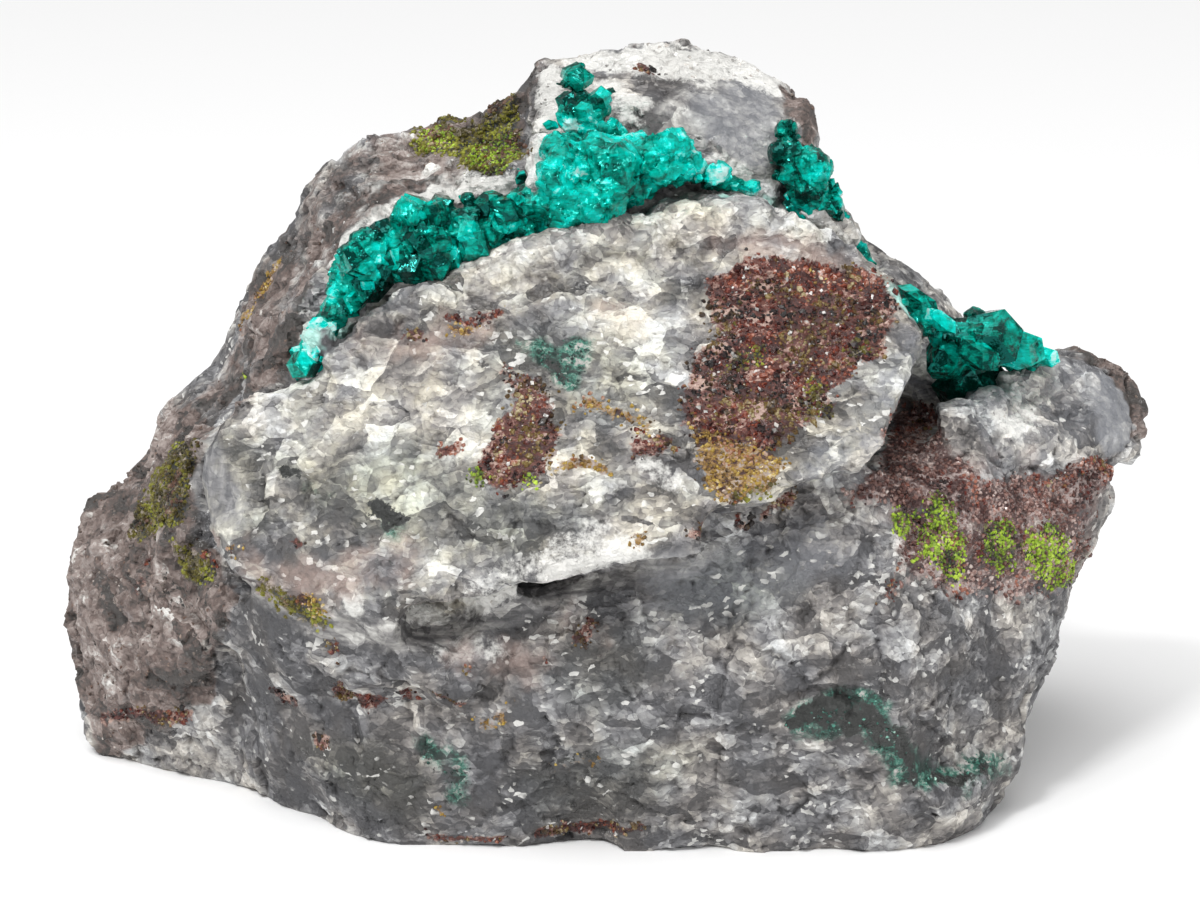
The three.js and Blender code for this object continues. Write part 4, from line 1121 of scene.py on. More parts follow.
class Surface:
    """The specimen's outer surface, on which the photograph's pixels are looked up."""

    def __init__(self, camera: PhotoCamera, nodes: tuple[str, ...]) -> None:
        """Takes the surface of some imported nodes, as a camera sees them."""
        mesh = merged_mesh(nodes)
        self.tree = BVHTree.FromBMesh(mesh)
        mesh.free()
        self.camera = camera

    def spot(self, pixel: Pixel) -> tuple[Vector, Vector] | None:
        """The point that a pixel of the photograph shows and its normal, or None."""
        place, normal, _, _ = self.tree.ray_cast(self.camera.eye, self.camera.ray(pixel))
        return None if place is None else (place, normal)

    def along(self, points: np.ndarray, patch: Patch) -> np.ndarray:
        """How much of a patch's stain there is at each point, from 0 to its strength."""
        found = [self.spot(spot) for spot in patch.spots]
        line = [np.array(hit[0]) for hit in found if hit is not None]
        if not line:
            return np.zeros(len(points))
        nearest = np.full(len(points), np.inf)
        for start, end in zip(line, line[1:] or line):
            along = end - start
            share = (points - start) @ along / max(along @ along, 1e-12)
            closest = start + np.clip(share, 0, 1)[:, None] * along
            nearest = np.minimum(nearest, np.linalg.norm(points - closest, axis=1))
        return patch.strength * np.clip(1.35 * (1 - nearest / (patch.radius * MM)), 0, 1)

    def within(self, points: np.ndarray, area: Area) -> np.ndarray:
        """How far each point lies inside an outline, from 0 outside to the area's strength inside."""
        pixels = self.camera.pixels(points)
        corners = np.array(area.outline, float)
        inside = np.zeros(len(points), bool)
        nearest = np.full(len(points), np.inf)
        for start, end in zip(corners, np.roll(corners, -1, axis=0)):
            along = end - start
            share = np.clip((pixels - start) @ along / max(along @ along, 1e-9), 0, 1)
            nearest = np.minimum(nearest, np.linalg.norm(pixels - start - share[:, None] * along, axis=1))
            straddles = (start[1] > pixels[:, 1]) != (end[1] > pixels[:, 1])
            rise = along[1] if abs(along[1]) > 1e-9 else 1e-9
            inside ^= straddles & (pixels[:, 0] < start[0] + (pixels[:, 1] - start[1]) * along[0] / rise)
        depth = np.where(inside, nearest, -nearest) / self.camera.pixels_per_mm
        return area.strength * np.clip(0.5 + depth / area.blur, 0, 1)

    def seen(self, points: np.ndarray, slack: float = 2.5 * MM) -> np.ndarray:
        """Whether each point is one that the photograph shows, give or take a few millimetres."""
        eye = self.camera.eye
        shown = np.zeros(len(points), bool)
        for number, point in enumerate(points):
            away = Vector(point) - eye
            distance = away.length
            reach = self.tree.ray_cast(eye, away.normalized())[3]
            shown[number] = reach is None or distance - reach < slack
        return shown

    def stains(self, piece: bpy.types.Object, ragged: float = 0.8) -> dict[Stain, np.ndarray]:
        """Works out every stain on a piece.

        Args:
            piece: the piece.
            ragged: how far the edges of the stains wander, in mm.

        Returns:
            For each stain, one value from 0 to 1 for each vertex.
        """
        points = vertices(piece)
        wander = np.array([noise.noise_vector(Vector(p) / (2.4 * MM)) for p in points])
        wander += 0.6 * np.array([noise.noise_vector(Vector(p) / (0.9 * MM)) for p in points])
        moved = points + wander * ragged * MM
        shown = self.seen(points)
        values = {stain: np.zeros(len(points)) for stain in Stain}
        for patch in PATCHES:
            shifted = moved if patch.radius > 0.8 else points
            values[patch.stain] = np.maximum(values[patch.stain], self.along(shifted, patch))
        for area in AREAS:
            shifted = points if area.stain in (Stain.SLAB, Stain.CLEAVED) else moved
            values[area.stain] = np.maximum(values[area.stain], np.where(shown, self.within(shifted, area), 0))
        return values


@dataclass
class Stone:
    """The block of calcite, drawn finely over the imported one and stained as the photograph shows."""

    surface: Surface
    grid: float = 0.32 * MM
    most: int = 196000
    sharp: float = math.radians(20)
    relief: Relief = field(default_factory=Relief)
    finish: StoneFinish = field(default_factory=StoneFinish)

    def drawn(self) -> bpy.types.Object:
        """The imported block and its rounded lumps, fused on a fine grid."""
        mesh = merged_mesh(("calcite_matrix",))
        for lump in LUMPS:
            hit = self.surface.spot(lump.spot)
            if hit is not None:
                place = Matrix.Translation(hit[0] - 0.45 * lump.radius * MM * hit[1])
                bmesh.ops.create_icosphere(mesh, subdivisions=3, radius=lump.radius * MM, matrix=place)
        data = bpy.data.meshes.new("stone")
        mesh.to_mesh(data)
        mesh.free()
        return remeshed(link(bpy.data.objects.new("stone", data)), "stone", self.grid)

    def build(self) -> bpy.types.Object:
        """Builds the stone and returns it, dressed."""
        drawn = self.drawn()
        stains = self.surface.stains(drawn)
        points, normals = vertices(drawn), vertices(drawn, "normal")
        behind = np.clip((normals[:, 1] - 0.1) * 2.5, 0, 1) * np.clip((points[:, 1] - 1 * MM) / (6 * MM), 0, 1)
        stains[Stain.WEATHERED] = np.maximum(stains[Stain.WEATHERED], 0.6 * behind)
        for stain, values in stains.items():
            set_values(drawn, stain.value, values)
        broken = self.relief.apply(drawn, "broken_stone")
        stone = thinned(broken, "broken_calcite_stone", self.most)
        stone.data.materials.append(self.finish.build())
        stone.data.shade_smooth()
        stone.data.set_sharp_from_angle(angle=self.sharp)
        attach(stone, "root")
        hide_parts("calcite_matrix")
        log.info("stone: %d triangles", triangles(stone))
        return stone


class Shape(Enum):
    """The plain shapes that grains and crystals are made from."""

    NUGGET = "nugget"
    RHOMB = "rhomb"
    CRYSTAL = "crystal"


class Shapes:
    """Collections of small shapes, of a size of about 1, that Geometry Nodes repeat."""

    VARIANTS = 5
    TIP_LONG = 1.233
    TIP_SHORT = 0.617

    def __init__(self) -> None:
        """Builds some variants of each shape."""
        makers = {Shape.NUGGET: self.nugget, Shape.RHOMB: self.rhomb, Shape.CRYSTAL: self.crystal}
        self.kinds: dict[Shape, bpy.types.Collection] = {}
        for kind, maker in makers.items():
            collection = bpy.data.collections.new(kind.value)
            dice = random.Random(kind.value)
            for number in range(self.VARIANTS):
                body = self.hull(maker(dice))
                mesh = bpy.data.meshes.new(f"{kind.value}_{number}")
                body.to_mesh(mesh)
                body.free()
                collection.objects.link(bpy.data.objects.new(mesh.name, mesh))
            self.kinds[kind] = collection

    def nugget(self, dice: random.Random) -> list[Vector]:
        """Corners of an uneven lump."""
        ball = bmesh.new()
        bmesh.ops.create_icosphere(ball, subdivisions=1, radius=1)
        corners = [v.co * dice.uniform(0.55, 1.15) for v in ball.verts]
        ball.free()
        return corners

    def rhomb(self, dice: random.Random) -> list[Vector]:
        """Corners of a slanting block, as calcite breaks."""
        lean = dice.uniform(0.15, 0.45)
        stretch = [dice.uniform(0.5, 1.0) for _ in range(3)]
        corners = [Vector((x + lean * z, y + 0.5 * lean * z, z)) for x in (-1, 1) for y in (-1, 1) for z in (-1, 1)]
        return [Vector([a * b * 0.8 for a, b in zip(c, stretch)]) for c in corners]

    def crystal(self, dice: random.Random) -> list[Vector]:
        """Corners of a dioptase crystal: six long sides, and three sloping faces at either end."""
        reach = dice.uniform(1.4, 2.0)
        corners = [Vector((0, 0, reach)), Vector((0, 0, -reach))]
        for side in range(6):
            turn = side * math.pi / 3 + dice.uniform(-0.1, 0.1)
            size = dice.uniform(0.85, 1.1)
            high, low = (self.TIP_SHORT, self.TIP_LONG) if side % 2 else (self.TIP_LONG, self.TIP_SHORT)
            x, y = size * math.cos(turn), size * math.sin(turn)
            corners += [Vector((x, y, reach - high)), Vector((x, y, low - reach))]
        return corners

    @staticmethod
    def hull(corners: list[Vector]) -> bmesh.types.BMesh:
        """The closed shape around some corners."""
        body = bmesh.new()
        for corner in corners:
            body.verts.new(corner)
        bmesh.ops.convex_hull(body, input=body.verts)
        bmesh.ops.delete(body, geom=[v for v in body.verts if not v.link_faces], context="VERTS")
        bmesh.ops.recalc_face_normals(body, faces=body.faces)
        return body


class GrainTree:
    """The Geometry Nodes tree that grows grains on the stone where a stain is."""

    NAME = "Grains on the stone"

    @classmethod
    def tree(cls) -> bpy.types.NodeTree:
        """The tree, built the first time that it is asked for."""
        if cls.NAME in bpy.data.node_groups:
            return bpy.data.node_groups[cls.NAME]
        tree = bpy.data.node_groups.new(cls.NAME, "GeometryNodeTree")
        add_socket(tree, "Geometry", "NodeSocketGeometry")
        add_socket(tree, "Shapes", "NodeSocketCollection")
        add_socket(tree, "Where", "NodeSocketString", default=Stain.RUST.value)
        add_socket(tree, "Least", "NodeSocketFloat", default=0.4)
        add_socket(tree, "Most", "NodeSocketFloat", default=0.6)
        add_socket(tree, "Density", "NodeSocketFloat", default=1.0)
        add_socket(tree, "Smallest", "NodeSocketFloat", default=0.1 * MM)
        add_socket(tree, "Biggest", "NodeSocketFloat", default=0.3 * MM)
        add_socket(tree, "Sunk", "NodeSocketFloat", default=0.05 * MM)
        add_socket(tree, "Seed", "NodeSocketInt", default=1)
        add_socket(tree, "Material", "NodeSocketMaterial")
        add_socket(tree, "Geometry", "NodeSocketGeometry", outward=True)
        graph = Graph(tree)
        given = graph.node("NodeGroupInput").outputs
        amount = graph.node("GeometryNodeInputNamedAttribute", {"Name": given["Where"]},
                            data_type="FLOAT").outputs["Attribute"]
        where = graph.node("GeometryNodeInputPosition").outputs[0]
        ragged = graph.math("MULTIPLY", graph.math("SUBTRACT", graph.noise(where, 1.6 * MM), 0.5), 1.5)
        ragged = graph.math("MULTIPLY", ragged, graph.spread(amount, 0.0, 0.25))
        cover = graph.node("ShaderNodeMapRange", {"Value": graph.math("ADD", amount, ragged),
                                                  "From Min": given["Least"], "From Max": given["Most"]})
        rise = graph.node("ShaderNodeSeparateXYZ", {0: where}).outputs[2]
        clear = graph.math("GREATER_THAN", rise, graph.math("MULTIPLY", given["Biggest"], 1.3))
        density = graph.math("MULTIPLY", cover.outputs["Result"], graph.math("MULTIPLY", given["Density"], clear))
        spots = graph.node("GeometryNodeDistributePointsOnFaces",
                           {"Mesh": given["Geometry"], "Density": density, "Seed": given["Seed"]},
                           distribute_method="RANDOM")
        inward = graph.math("MULTIPLY", given["Sunk"], -1.0)
        sunk = graph.node("ShaderNodeVectorMath", {0: spots.outputs["Normal"], "Scale": inward}, operation="SCALE")
        placed = graph.node("GeometryNodeSetPosition", {"Geometry": spots.outputs["Points"],
                                                        "Offset": sunk.outputs[0]})
        shapes = graph.node("GeometryNodeCollectionInfo", {"Collection": given["Shapes"], "Separate Children": True,
                                                           "Reset Children": True})
        turn = graph.node("FunctionNodeRandomValue", {"Min": (0.0, 0.0, 0.0), "Max": (6.28, 6.28, 6.28),
                                                      "Seed": given["Seed"]}, data_type="FLOAT_VECTOR")
        size = graph.node("FunctionNodeRandomValue", {2: given["Smallest"], 3: given["Biggest"],
                                                      "Seed": given["Seed"]}, data_type="FLOAT")
        pick = graph.node("FunctionNodeRandomValue", {4: 0, 5: Shapes.VARIANTS - 1, "Seed": given["Seed"]},
                          data_type="INT")
        grains = graph.node("GeometryNodeInstanceOnPoints",
                            {"Points": placed.outputs[0], "Instance": shapes.outputs[0], "Pick Instance": True,
                             "Instance Index": pick.outputs[2], "Rotation": turn.outputs[0],
                             "Scale": size.outputs[1]})
        shade = graph.node("FunctionNodeRandomValue", {2: 0.0, 3: 1.0, "Seed": graph.math("ADD", given["Seed"], 7)},
                           data_type="FLOAT")
        tinted = graph.node("GeometryNodeStoreNamedAttribute",
                            {"Geometry": grains.outputs[0], "Name": "tint", "Value": shade.outputs[1]},
                            data_type="FLOAT", domain="INSTANCE")
        real = graph.node("GeometryNodeRealizeInstances", {"Geometry": tinted.outputs[0]})
        dressed = graph.node("GeometryNodeSetMaterial", {"Geometry": real.outputs[0],
                                                         "Material": given["Material"]})
        graph.node("NodeGroupOutput", {"Geometry": dressed.outputs[0]})
        return tree


@dataclass
class Grains:
    """Loose-looking grains that have grown on the stone wherever one of its stains is.

    Sizes are in mm, and density is grains in a square mm.
    """

    name: str
    where: str
    shape: Shape
    finish: GrainFinish
    density: float
    smallest: float
    biggest: float
    seed: int
    least: float = 0.42
    most: float = 0.6
    sunk: float = 0.05

    def build(self, stone: bpy.types.Object, shapes: Shapes) -> bpy.types.Object:
        """Grows the grains and returns them as one piece.

        Args:
            stone: the stone that they grow on.
            shapes: the shapes that they have.

        Returns:
            The piece, riding on the specimen.
        """
        bed = link(bpy.data.objects.new(self.name + "_bed", stone.data.copy()))
        grow = bed.modifiers.new("grow", "NODES")
        grow.node_group = GrainTree.tree()
        set_inputs(grow, {"Shapes": shapes.kinds[self.shape], "Where": self.where, "Least": self.least,
                          "Most": self.most, "Density": self.density / MM**2, "Smallest": self.smallest * MM,
                          "Biggest": self.biggest * MM, "Sunk": self.sunk * MM, "Seed": self.seed,
                          "Material": self.finish.build()})
        piece = finished(bed, self.name)
        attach(piece, "root")
        log.info("%s: %d triangles", self.name, triangles(piece))
        return piece


@dataclass(frozen=True)
class Stretch:
    """One point of a seam: its place and half width in mm, in the frame of the part's source."""

    x: float
    y: float
    z: float
    width: float


@dataclass(frozen=True)
class Growth:
    """One generation of crystals inside an outline.

    Args:
        outline: pixels of the photograph round it.
        count: how many there are.
        radius: their usual radius, in mm.
        sunk: how deep their middles lie under the surface, as a share of the radius.
        tint: the middle of their tints, from dark at 0 to frosted at 1.
        fused: whether they are melted into the mass, or keep their flat faces.
    """

    outline: tuple[Pixel, ...]
    count: int
    radius: float
    sunk: float
    tint: float
    fused: bool = False


@dataclass(frozen=True)
class Showpiece:
    """One crystal that stands out by itself.

    Args:
        spot: the pixel of the photograph that it is seen at.
        radius: its radius, in mm.
        long: its length, as a share of the usual.
        pointing: the direction in which it points.
        tint: its tint, from dark at 0 to frosted at 1.
        sunk: how deep its middle lies under the surface, as a share of the radius.
        spin: how far it is turned about its length, in degrees.
    """

    spot: Pixel
    radius: float
    long: float
    pointing: tuple[float, float, float]
    tint: float
    sunk: float = 0.2
    spin: float = 0.0


@dataclass(frozen=True)
class Crystal:
    """One crystal of a seam: its middle, direction, radius, length, tint and turn about its length."""

    place: Vector
    pointing: Vector
    radius: float
    long: float
    tint: float
    spin: float = 0.0


@dataclass
class Seam:
    """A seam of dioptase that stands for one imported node: a fused mass with flat-faced crystals on it."""

    node: str
    name: str
    branches: tuple[tuple[Stretch, ...], ...]
    growths: tuple[Growth, ...]
    showpieces: tuple[Showpiece, ...]
    seed: int
    core: float = 0.6
    grid: float = 0.17 * MM
    most: int = 110000
    sharp: float = math.radians(24)
    shift: tuple[float, float, float] = (0.31 * MM, -0.40 * MM, -0.05 * MM)
    relief: Relief = Relief(3.4 * MM, 0.26, 1.7 * MM, 0.26, 0.8 * MM, 0.16, 0.2 * MM, 0.3 * MM, -1.0)

    def along(self, dice: random.Random) -> list[Crystal]:
        """The crystals inside the seam, along its branches."""
        found = []
        for branch in self.branches:
            for start, end in zip(branch, branch[1:]):
                for share in (0.0, 0.33, 0.67):
                    x, y, z, width = (a + share * (b - a) for a, b in zip(
                        (start.x, start.y, start.z, start.width), (end.x, end.y, end.z, end.width)))
                    place = Vector((x, y, z)) * MM + Vector(self.shift)
                    pointing = Vector([dice.uniform(-1, 1) for _ in range(3)])
                    found.append(Crystal(place, pointing, self.core * width * MM, 0.62, dice.uniform(0.2, 0.6)))
        return found

    def scattered(self, growth: Growth, surface: Surface, dice: random.Random) -> list[Crystal]:
        """The crystals of one generation, leaning alike where they stand close together.

        Args:
            growth: the generation.
            surface: the specimen's surface.
            dice: where its random numbers come from.

        Returns:
            Its crystals.
        """
        columns = [spot[0] for spot in growth.outline]
        rows = [spot[1] for spot in growth.outline]
        area = Area(Stain.TEAL, growth.outline, 12.0)
        found: list[Crystal] = []
        while len(found) < growth.count:
            hit = surface.spot((dice.uniform(min(columns), max(columns)), dice.uniform(min(rows), max(rows))))
            depth = (surface.within(np.array([hit[0]]), area)[0] - 0.5) * area.blur if hit else 0.0
            if depth <= 0:
                continue
            radius = float(min(growth.radius * dice.uniform(0.6, 1.35), 0.35 + 1.1 * depth)) * MM
            wild = Vector([dice.uniform(-0.3, 0.3) for _ in range(3)])
            alike = noise.noise_vector(hit[0] / (4.5 * MM)) * 1.3
            pointing = hit[1] + Vector((0, -0.4, 0.2)) + alike + wild
            tint = min(1.0, max(0.0, dice.gauss(growth.tint, 0.2)))
            found.append(Crystal(hit[0] - growth.sunk * radius * hit[1], pointing, radius, 0.75, tint))
        return found

    def shown(self, surface: Surface) -> list[Crystal]:
        """The crystals that stand out by themselves."""
        found = []
        for piece in self.showpieces:
            hit = surface.spot(piece.spot)
            if hit is not None:
                radius = piece.radius * MM
                found.append(Crystal(hit[0] - piece.sunk * radius * hit[1], Vector(piece.pointing), radius,
                                     piece.long, piece.tint, math.radians(piece.spin)))
        return found

    def add(self, mesh: bmesh.types.BMesh, crystal: Crystal, dice: random.Random, shapes: Shapes) -> None:
        """Adds one crystal to a mesh, with its tint and a shade for each of its faces.

        Args:
            mesh: the mesh, with its layers "tint" and "face".
            crystal: the crystal.
            dice: where its random numbers come from.
            shapes: the shapes to take its corners from.
        """
        spin = Matrix.Rotation(crystal.spin + dice.uniform(-0.3, 0.3), 3, "Z")
        turn = crystal.pointing.to_track_quat("Z", "Y").to_matrix() @ spin
        scale = Matrix.Diagonal((crystal.radius, crystal.radius, crystal.radius * crystal.long))
        corners = [mesh.verts.new(crystal.place + turn @ scale @ corner) for corner in shapes.crystal(dice)]
        made = bmesh.ops.convex_hull(mesh, input=corners)["geom"]
        tint, face_shade = mesh.verts.layers.float["tint"], mesh.faces.layers.float["face"]
        across = Vector([dice.uniform(-4, 4) for _ in range(3)])
        for corner in corners:
            corner[tint] = crystal.tint
        for face in made:
            if isinstance(face, bmesh.types.BMFace):
                face.normal_update()
                if face.normal.dot(face.calc_center_median() - crystal.place) < 0:
                    face.normal_flip()
                face[face_shade] = math.sin(across.dot(face.normal))

    def mass(self, crystals: list[Crystal], dice: random.Random, surface: Surface,
             shapes: Shapes) -> bpy.types.Object:
        """The crystals melted into one mass and broken up.

        Args:
            crystals: the crystals.
            dice: where its random numbers come from.
            surface: the specimen's surface.
            shapes: the shapes that the crystals have.

        Returns:
            The mass, with the values "tint" and "frost" at its points.
        """
        mesh = self.empty()
        for crystal in crystals:
            self.add(mesh, crystal, dice, shapes)
        fused = remeshed(self.solid(mesh, "loose"), "fused", self.grid)
        tree = KDTree(len(crystals))
        for number, crystal in enumerate(crystals):
            tree.insert(crystal.place, number)
        tree.balance()
        points = vertices(fused)
        set_values(fused, "tint", [crystals[tree.find(Vector(point))[1]].tint for point in points])
        set_values(fused, "frost", self.frosted(points, surface))
        return thinned(self.relief.apply(fused, "broken"), "mass", self.most)

    @staticmethod
    def frosted(points: np.ndarray, surface: Surface) -> np.ndarray:
        """How frosted the seam is at some points."""
        return np.max([surface.along(points, patch) for patch in PATCHES if patch.stain is Stain.TEAL], axis=0)

    @staticmethod
    def empty() -> bmesh.types.BMesh:
        """A mesh with the layers that crystals need."""
        mesh = bmesh.new()
        mesh.verts.layers.float.new("tint")
        mesh.faces.layers.float.new("face")
        return mesh

    @staticmethod
    def solid(mesh: bmesh.types.BMesh, name: str) -> bpy.types.Object:
        """Turns a mesh into a piece in the scene, without the loose corners, and frees it."""
        bmesh.ops.delete(mesh, geom=[v for v in mesh.verts if not v.link_faces], context="VERTS")
        data = bpy.data.meshes.new(name)
        mesh.to_mesh(data)
        mesh.free()
        return link(bpy.data.objects.new(name, data))

    def build(self, surface: Surface, shapes: Shapes, material: bpy.types.Material) -> bpy.types.Object:
        """Grows the seam and returns it as one piece.

        Args:
            surface: the specimen's surface.
            shapes: the shapes that the crystals have.
            material: their material.

        Returns:
            The piece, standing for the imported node.
        """
        dice = random.Random(self.seed)
        inner = self.along(dice)
        outer = self.shown(surface)
        for growth in self.growths:
            (inner if growth.fused else outer).extend(self.scattered(growth, surface, dice))
        mass = self.mass(inner, dice, surface, shapes)
        mesh = self.empty()
        for crystal in outer:
            self.add(mesh, crystal, dice, shapes)
        mesh.from_mesh(mass.data)
        bpy.data.objects.remove(mass)
        piece = self.solid(mesh, self.name)
        set_values(piece, "frost", self.frosted(vertices(piece), surface))
        piece.data.materials.clear()
        piece.data.materials.append(material)
        piece.data.shade_smooth()
        piece.data.set_sharp_from_angle(angle=self.sharp)
        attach(piece, "root")
        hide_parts(self.node)
        log.info("%s: %d crystals, %d triangles", self.name, len(inner) + len(outer), triangles(piece))
        return piece


LEFT_OUTLINE = ((326, 318), (330, 291), (344, 258), (367, 238), (390, 218), (414, 206), (455, 197), (500, 197),
                (545, 212), (560, 240), (525, 240), (500, 252), (490, 258), (470, 270), (440, 272), (397, 278),
                (375, 300), (353, 322), (345, 332))
RIGHT_OUTLINE = ((513, 171), (519, 157), (526, 160), (527, 205), (542, 207), (546, 172), (553, 150), (562, 133),
                 (600, 124), (630, 130), (665, 138), (690, 150), (717, 168), (764, 194), (764, 204), (735, 192),
                 (700, 178), (688, 172), (672, 190), (659, 200), (630, 216), (595, 232), (560, 240), (520, 238))
CLIMBING_OUTLINE = ((564, 66), (592, 66), (604, 88), (608, 106), (598, 130), (566, 134), (558, 112), (562, 90))
LOBE_OUTLINE = ((297, 380), (293, 352), (312, 322), (335, 318), (350, 332), (335, 352), (318, 376))
MAIN_SEAM = Seam(
    "dioptase_main_seam", "main_seam_crystals",
    (
        (Stretch(-23.5, -9.3, 38.1, 1.2), Stretch(-21.9, -7.8, 40.7, 1.8), Stretch(-19.8, -5.8, 44.2, 2.9),
         Stretch(-16.4, -4.6, 46.5, 3.2), Stretch(-12.8, -4.2, 47.4, 2.8), Stretch(-9.6, -3.8, 47.6, 2.7),
         Stretch(-6.6, -3.3, 49.0, 2.9), Stretch(-3.2, -2.7, 50.6, 3.7), Stretch(0.0, -2.2, 51.4, 4.0),
         Stretch(3.2, -1.8, 51.9, 3.4), Stretch(6.9, -1.2, 52.2, 2.2), Stretch(10.1, -0.8, 51.1, 1.5),
         Stretch(12.7, -0.4, 49.9, 1.1)),
    ),
    (Growth(LEFT_OUTLINE, 60, 1.4, 0.8, 0.42, fused=True), Growth(RIGHT_OUTLINE, 130, 1.5, 0.98, 0.68, fused=True),
     Growth(LEFT_OUTLINE, 46, 1.6, 0.86, 0.34), Growth(LEFT_OUTLINE, 26, 0.6, 0.45, 0.6),
     Growth(RIGHT_OUTLINE, 22, 1.3, 1.0, 0.66), Growth(RIGHT_OUTLINE, 36, 0.4, 0.55, 0.8),
     Growth(LOBE_OUTLINE, 34, 0.6, 0.5, 0.95), Growth(CLIMBING_OUTLINE, 24, 0.9, 1.5, 0.45, fused=True)),
    (Showpiece((578, 76), 1.3, 0.6, (0.3, -0.5, 1.0), 0.35, 0.1),
     Showpiece((568, 103), 1.0, 0.6, (-0.5, -0.8, 0.5), 0.25), Showpiece((584, 112), 0.9, 0.7, (0.2, -0.8, 0.3), 0.6),
     Showpiece((597, 100), 0.9, 0.8, (0.8, -0.3, 0.6), 0.45), Showpiece((610, 93), 0.6, 0.6, (1.0, -0.2, 0.25), 0.6),
     Showpiece((552, 126), 0.5, 1.2, (-1.0, -0.3, 0.3), 0.7), Showpiece((303, 366), 1.2, 0.6, (-0.3, -0.7, 0.2), 0.3),
     # The crystals of tint 0 at the hollow under the seam's left part are painted shade: dark crystals where the
     # hollow lies in shadow.
     Showpiece((476, 248), 1.6, 0.9, (0.35, -0.8, 0.7), 0.0, 0.2), Showpiece((413, 266), 1.4, 0.7, (0.2, -0.9, 0), 0),
     Showpiece((436, 266), 1.4, 0.7, (-0.2, -0.9, 0.1), 0.0), Showpiece((452, 262), 1.2, 0.7, (0.2, -0.7, 0.1), 0.0),
     Showpiece((500, 216), 1.5, 0.8, (0.2, -0.7, 0.7), 0.05, 0.3),
     Showpiece((400, 262), 1.5, 0.8, (-0.4, -0.7, 0.7), 0.55, 0.4),
     Showpiece((362, 262), 1.4, 0.8, (-0.6, -0.7, 0.5), 0.15, 0.4),
     Showpiece((438, 222), 1.4, 0.9, (0.1, -0.7, 0.8), 0.25, 0.4)),
    seed=11,
)
SEAM_BESIDE = ((780, 120), (789, 122), (793, 140), (803, 155), (812, 165), (810, 132), (818, 145), (828, 160),
               (838, 185), (842, 208), (852, 222), (872, 245), (884, 268), (876, 266), (858, 235), (840, 220),
               (826, 215), (812, 210), (792, 216), (780, 200), (783, 190), (780, 170), (779, 145))
RIGHT_SEAM = Seam(
    "dioptase_right_seam", "right_seam_crystals",
    ((Stretch(15.2, 3.0, 54.6, 1.2), Stretch(16.0, 2.2, 51.9, 1.6), Stretch(17.4, 1.8, 49.2, 2.3),
      Stretch(19.4, 3.0, 47.4, 1.9), Stretch(20.9, 3.0, 45.4, 1.5), Stretch(22.4, 2.4, 43.6, 1.1)),),
    (Growth(SEAM_BESIDE, 70, 1.2, 1.0, 0.36, fused=True), Growth(SEAM_BESIDE, 16, 1.0, 0.95, 0.32),
     Growth(SEAM_BESIDE, 8, 0.4, 0.5, 0.6)),
    (),
    seed=12,
)
CLUSTER_OUTLINE = ((900, 285), (925, 298), (944, 316), (965, 308), (988, 308), (1005, 319), (1030, 338), (1060, 352),
                   (1055, 364), (1030, 366), (1000, 372), (975, 388), (950, 398), (938, 392), (942, 345),
                   (920, 318), (905, 300))
RIGHT_CLUSTER = Seam(
    "dioptase_right_cluster", "right_cluster_crystals",
    ((Stretch(25.2, -6.0, 42.0, 1.2), Stretch(26.7, -5.2, 39.8, 1.6), Stretch(29.3, -3.2, 37.5, 2.1),
      Stretch(31.6, -1.4, 37.0, 2.1), Stretch(33.6, -0.8, 36.3, 1.7), Stretch(36.6, 0.6, 35.6, 1.1)),),
    (Growth(CLUSTER_OUTLINE, 18, 1.2, 0.9, 0.15, fused=True), Growth(CLUSTER_OUTLINE, 5, 0.5, 0.5, 0.5)),
    (Showpiece((984, 326), 2.5, 0.72, (1.0, -0.1, 0.25), 0.0, 0.45, 30),
     Showpiece((1022, 350), 1.6, 0.9, (1.0, -0.15, -0.35), 0.7, 0.25, 30),
     Showpiece((1044, 357), 0.9, 1.0, (1.0, -0.15, -0.3), 0.8, 0.3, 30),
     Showpiece((974, 350), 1.1, 1.2, (0.8, -0.5, -0.55), 0.35, -0.3, 10),
     Showpiece((918, 300), 1.0, 1.5, (0.85, -0.2, -0.55), 0.5, 0.3, 30),
     Showpiece((940, 322), 0.7, 1.4, (0.8, -0.3, -0.6), 0.75, 0.2),
     Showpiece((952, 358), 2.1, 0.8, (0.5, -0.3, 1.0), 0.12, 0.3, 30),
     Showpiece((962, 382), 1.9, 0.8, (0.6, -0.4, 0.8), 0.05, 0.3, 10),
     Showpiece((985, 376), 1.6, 0.8, (1.0, -0.4, 0.4), 0.0, 0.4, 30)),
    seed=13,
)

RUSTY = GrainFinish("rusty_grains", ((0.20, (0.004, 0.002, 0.002)), (0.40, (0.035, 0.005, 0.004)),
                                     (0.58, (0.11, 0.016, 0.009)), (0.76, (0.23, 0.060, 0.030)),
                                     (0.90, (0.36, 0.18, 0.13)), (1.0, (0.55, 0.42, 0.38))),
                    ((0.15, (0.012, 0.006, 0.004)), (0.4, (0.065, 0.034, 0.010)), (0.66, (0.16, 0.105, 0.025)),
                     (0.95, (0.42, 0.36, 0.22))), 0.42, 0.35)
PURPLISH = GrainFinish("purplish_grains", ((0.1, (0.02, 0.012, 0.012)), (0.35, (0.09, 0.035, 0.028)),
                                           (0.6, (0.22, 0.12, 0.10)), (0.85, (0.42, 0.31, 0.28)),
                                           (1.0, (0.62, 0.54, 0.50))),
                       ((0.1, (0.03, 0.005, 0.004)), (0.5, (0.10, 0.014, 0.009)), (0.9, (0.30, 0.12, 0.08))), 0.3, 0.4)
